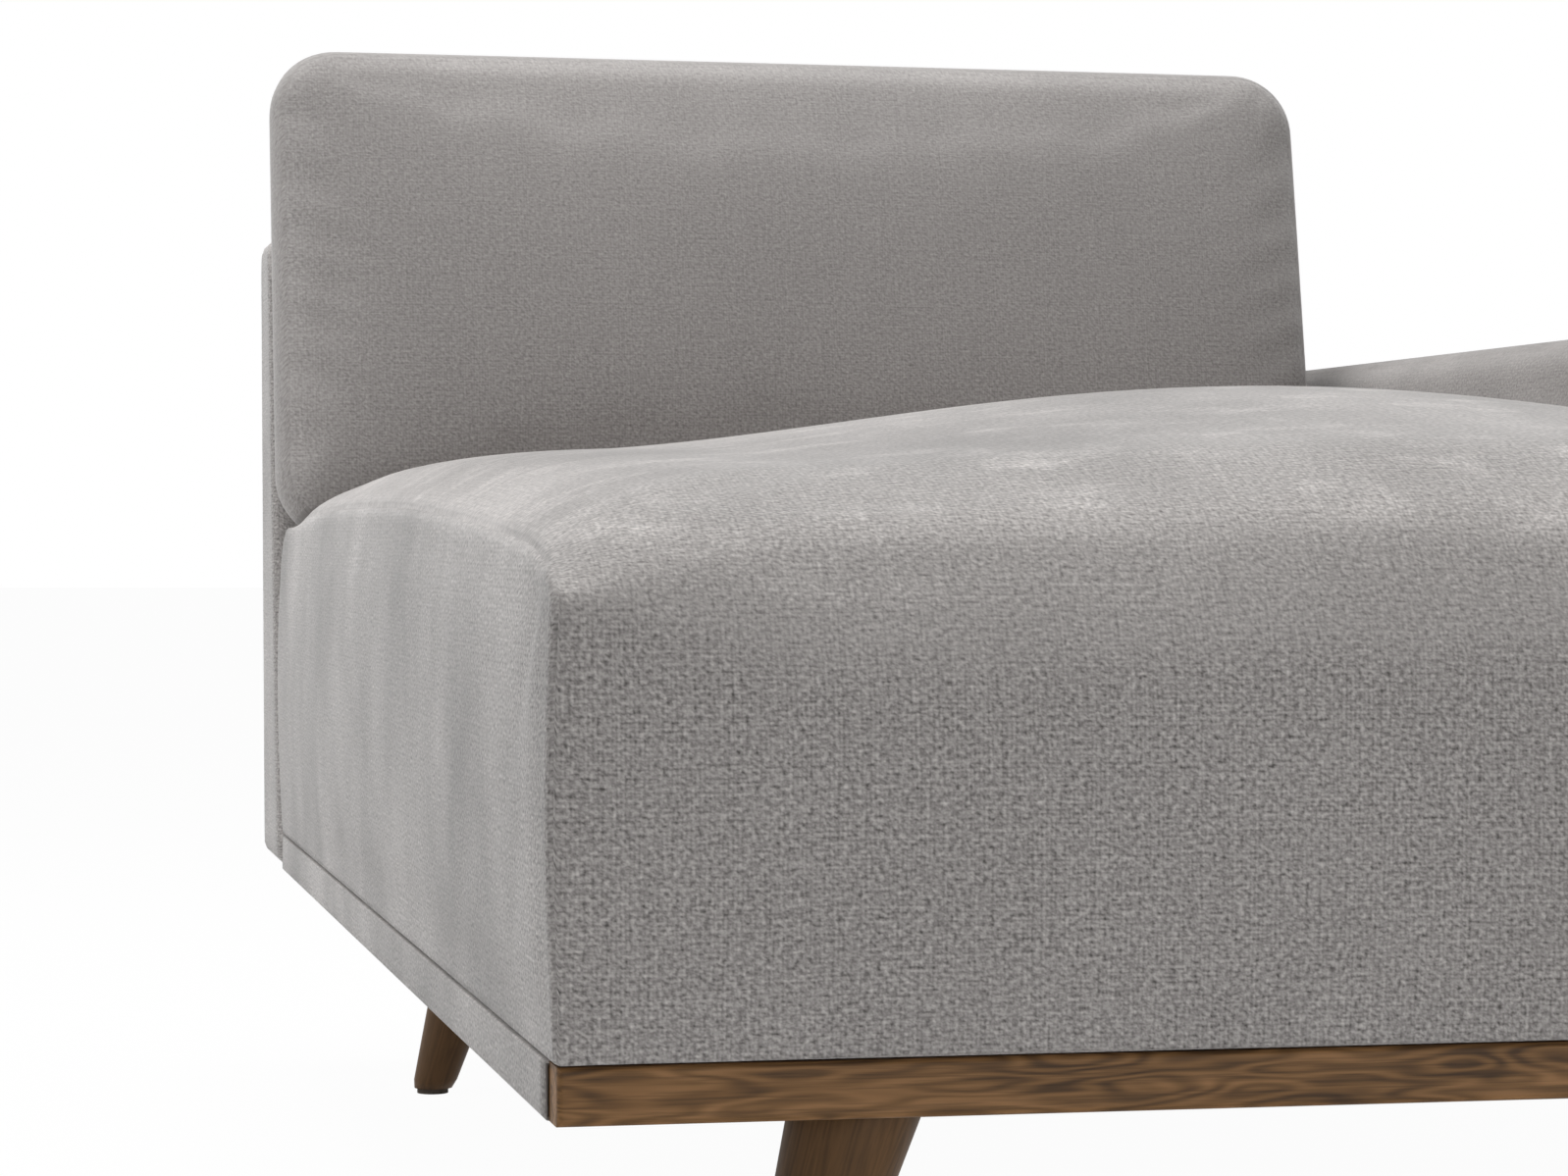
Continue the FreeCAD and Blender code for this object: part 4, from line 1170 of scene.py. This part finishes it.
def flatCloth(name, node, sag, facing, windows=()):
    # a sheet that hangs a little in the middle: sag times the product of two half sines, with small puckers
    # along its edges, which are a squared sine; cells inside a window are left out
    low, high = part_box(node)
    halfWindow = sheets["window"] / 2
    stops = []
    for axis in (0, 1):
        count = round((high[axis] - low[axis]) / sheets["step"])
        even = np.linspace(low[axis], high[axis], count + 1)
        cuts = [spot[axis] + side * halfWindow for spot in windows for side in (-1, 1)]
        stops.append(np.unique(np.append(even, cuts).round(5)))
    x, y = np.meshgrid(*stops, indexing="ij")
    shareX, shareY = (x - low.x) / (high.x - low.x), (y - low.y) / (high.y - low.y)
    hang = np.sin(np.pi * np.clip(shareX, 0, 1)) * np.sin(np.pi * np.clip(shareY, 0, 1))
    edge = np.minimum(np.minimum(x - low.x, high.x - x), np.minimum(y - low.y, high.y - y))
    ripple = np.sin((x + y) * 2 * np.pi / sheets["stapleStep"]) ** 2
    pucker = sheets["tuft"] * np.exp(-edge / sheets["tuftReach"]) * ripple
    z = (low.z if facing < 0 else high.z) - sag * hang + facing * pucker * (edge > sheets["flatRim"])
    cells = gridQuads(np.arange(x.size).reshape(x.shape))
    points = np.stack([x, y, z], axis=-1).reshape(-1, 3)
    centre = points[cells].mean(axis=1)
    kept = np.ones(len(cells), bool)
    for spot in windows:
        kept &= np.abs(centre[:, :2] - np.array(spot)).max(axis=1) > halfWindow
    cells = cells[kept] if facing > 0 else cells[kept][:, ::-1]
    used, faces = np.unique(cells, return_inverse=True)
    piece = makePiece(name, points[used], faces.reshape(-1, 4))
    mapFlat(piece, points[used][:, :2])
    stand(piece, liningFinish, "frame", "lining", node)
    return piece, (high.x - low.x, high.y - low.y)


def stapleBar(x, y, z, turned):
    # a half round bar that looks down
    length, radius = sheets["staple"]
    turns = np.linspace(0, np.pi, sheets["stapleTurns"])
    profile = np.stack([radius * np.cos(turns), -radius * np.sin(turns)], axis=-1)
    along, sideways = ((0, 1, 0), (1, 0, 0)) if turned else ((1, 0, 0), (0, 1, 0))
    spine = np.array([x, y, z]) + np.outer((-length / 2, length / 2), along)
    return carried(profile, spine, sideways, (0, 0, 1))


deckPiece, deckFlat = flatCloth("deckCloth", "deck_cloth", sheets["deckSag"], 1)
dustPiece, dustFlat = flatCloth("dustCover", "dust_cover", sheets["dustSag"], -1, legSpots)
dustLow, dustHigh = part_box("dust_cover")
inset = sheets["stapleInset"]
staples = []
for y in (dustLow.y + inset, dustHigh.y - inset):
    for x in np.arange(dustLow.x + 2 * inset, dustHigh.x - inset, sheets["stapleStep"]):
        staples.append(stapleBar(x, y, dustLow.z, False))
for x in (dustLow.x + inset, dustHigh.x - inset):
    for y in np.arange(dustLow.y + 2 * inset, dustHigh.y - inset, sheets["stapleStep"]):
        staples.append(stapleBar(x, y, dustLow.z, True))
staplePiece = makePiece("dustStaples", *joinedForms(staples))
stand(staplePiece, plainFinish["brightSteel"], "frame", "bright_steel")
webNodes = {"along": ["webbing_long"], "across": ["webbing_cross", "back_webbing"]}
for way, names in webNodes.items():
    for name in names:
        dress(nodes[name], webFinish[way])
print("platform cloth made")

# studio

studio = {
    "floor": linear(244, 244, 244),
    "whiteShare": 0.965,  # of the floor where it is seen; the rest takes light and shadow
    "worldLight": 0.25,
    "eye": (-0.7556, -2.565, 0.4326),
    "yaw": 11.972,
    "pitch": -0.756,
    "roll": 0.124,
    "focalPixels": 4100.0,
    "pictureWidth": 1598.0,
    "sensorWidth": 36.0,
    "floorSize": 30.0,
    "lampAim": (0, 0, 0.35),
}
floorCorners = np.array([(-1, -1, 0), (1, -1, 0), (1, 1, 0), (-1, 1, 0)])
floor = makePiece("floor", floorCorners * studio["floorSize"], [range(4)], smooth=False)
floorFinish = Finish("paleFloor", Roughness=0.9)
floorFinish.shader.inputs["Base Color"].default_value = (*studio["floor"], 1)
white = floorFinish.seen() * studio["whiteShare"]
glow = floorFinish.node("ShaderNodeEmission", {}, {"Color": (1, 1, 1, 1), "Strength": 1.0})
lit = Wire(floorFinish, floorFinish.shader.outputs[0])
mixed = floorFinish.node("ShaderNodeMixShader", {}, {0: white, 1: lit, 2: glow})
below = floorFinish.node("ShaderNodeNewGeometry", {}, {}, "Backfacing")
clear = floorFinish.node("ShaderNodeBsdfTransparent", {}, {})
mixed = floorFinish.node("ShaderNodeMixShader", {}, {0: below, 1: mixed, 2: clear})
floorFinish.tree.links.new(mixed.socket, floorFinish.tree.nodes["Material Output"].inputs["Surface"])
dress(floor, floorFinish.material)

sky = Sky("studio")
sky.shader.inputs["Color"].default_value = (1, 1, 1, 1)
sky.feed("Strength", sky.span(sky.seen(), 0.0, 1.0, studio["worldLight"], 1.0))
bpy.context.scene.world = sky.world

lamps = {  # place, size and power
    "key": ((-2.8, 0.5, 2.0), 2.4, 26.5),
    "overhead": ((-0.3, 0.7, 3.2), 2.4, 80.0),
    "fill": ((0.9, -3.5, 0.35), 1.6, 30.0),
}
for name, (place, size, power) in lamps.items():
    lamp = bpy.data.lights.new(name, "AREA")
    lamp.size, lamp.energy = size, power
    holder = bpy.data.objects.new(name, lamp)
    holder.location = place
    holder.rotation_euler = (Vector(studio["lampAim"]) - Vector(place)).to_track_quat("-Z", "Y").to_euler()
    bpy.context.scene.collection.objects.link(holder)

yaw, pitch = math.radians(studio["yaw"]), math.radians(studio["pitch"])
ahead = Vector((math.sin(yaw) * math.cos(pitch), math.cos(yaw) * math.cos(pitch), math.sin(pitch)))
right = Vector((math.cos(yaw), -math.sin(yaw), 0))
up = right.cross(ahead)
camera = bpy.data.objects.new("camera", bpy.data.cameras.new("camera"))
camera.data.sensor_width = studio["sensorWidth"]
camera.data.lens = studio["focalPixels"] / studio["pictureWidth"] * camera.data.sensor_width
roll = Matrix.Rotation(math.radians(studio["roll"]), 4, "Z")
turn = Matrix((right, up, -ahead)).transposed().to_4x4() @ roll
camera.matrix_world = Matrix.Translation(studio["eye"]) @ turn
bpy.context.scene.collection.objects.link(camera)
bpy.context.scene.camera = camera
bpy.context.scene.view_settings.view_transform = "Standard"
print("studio made")
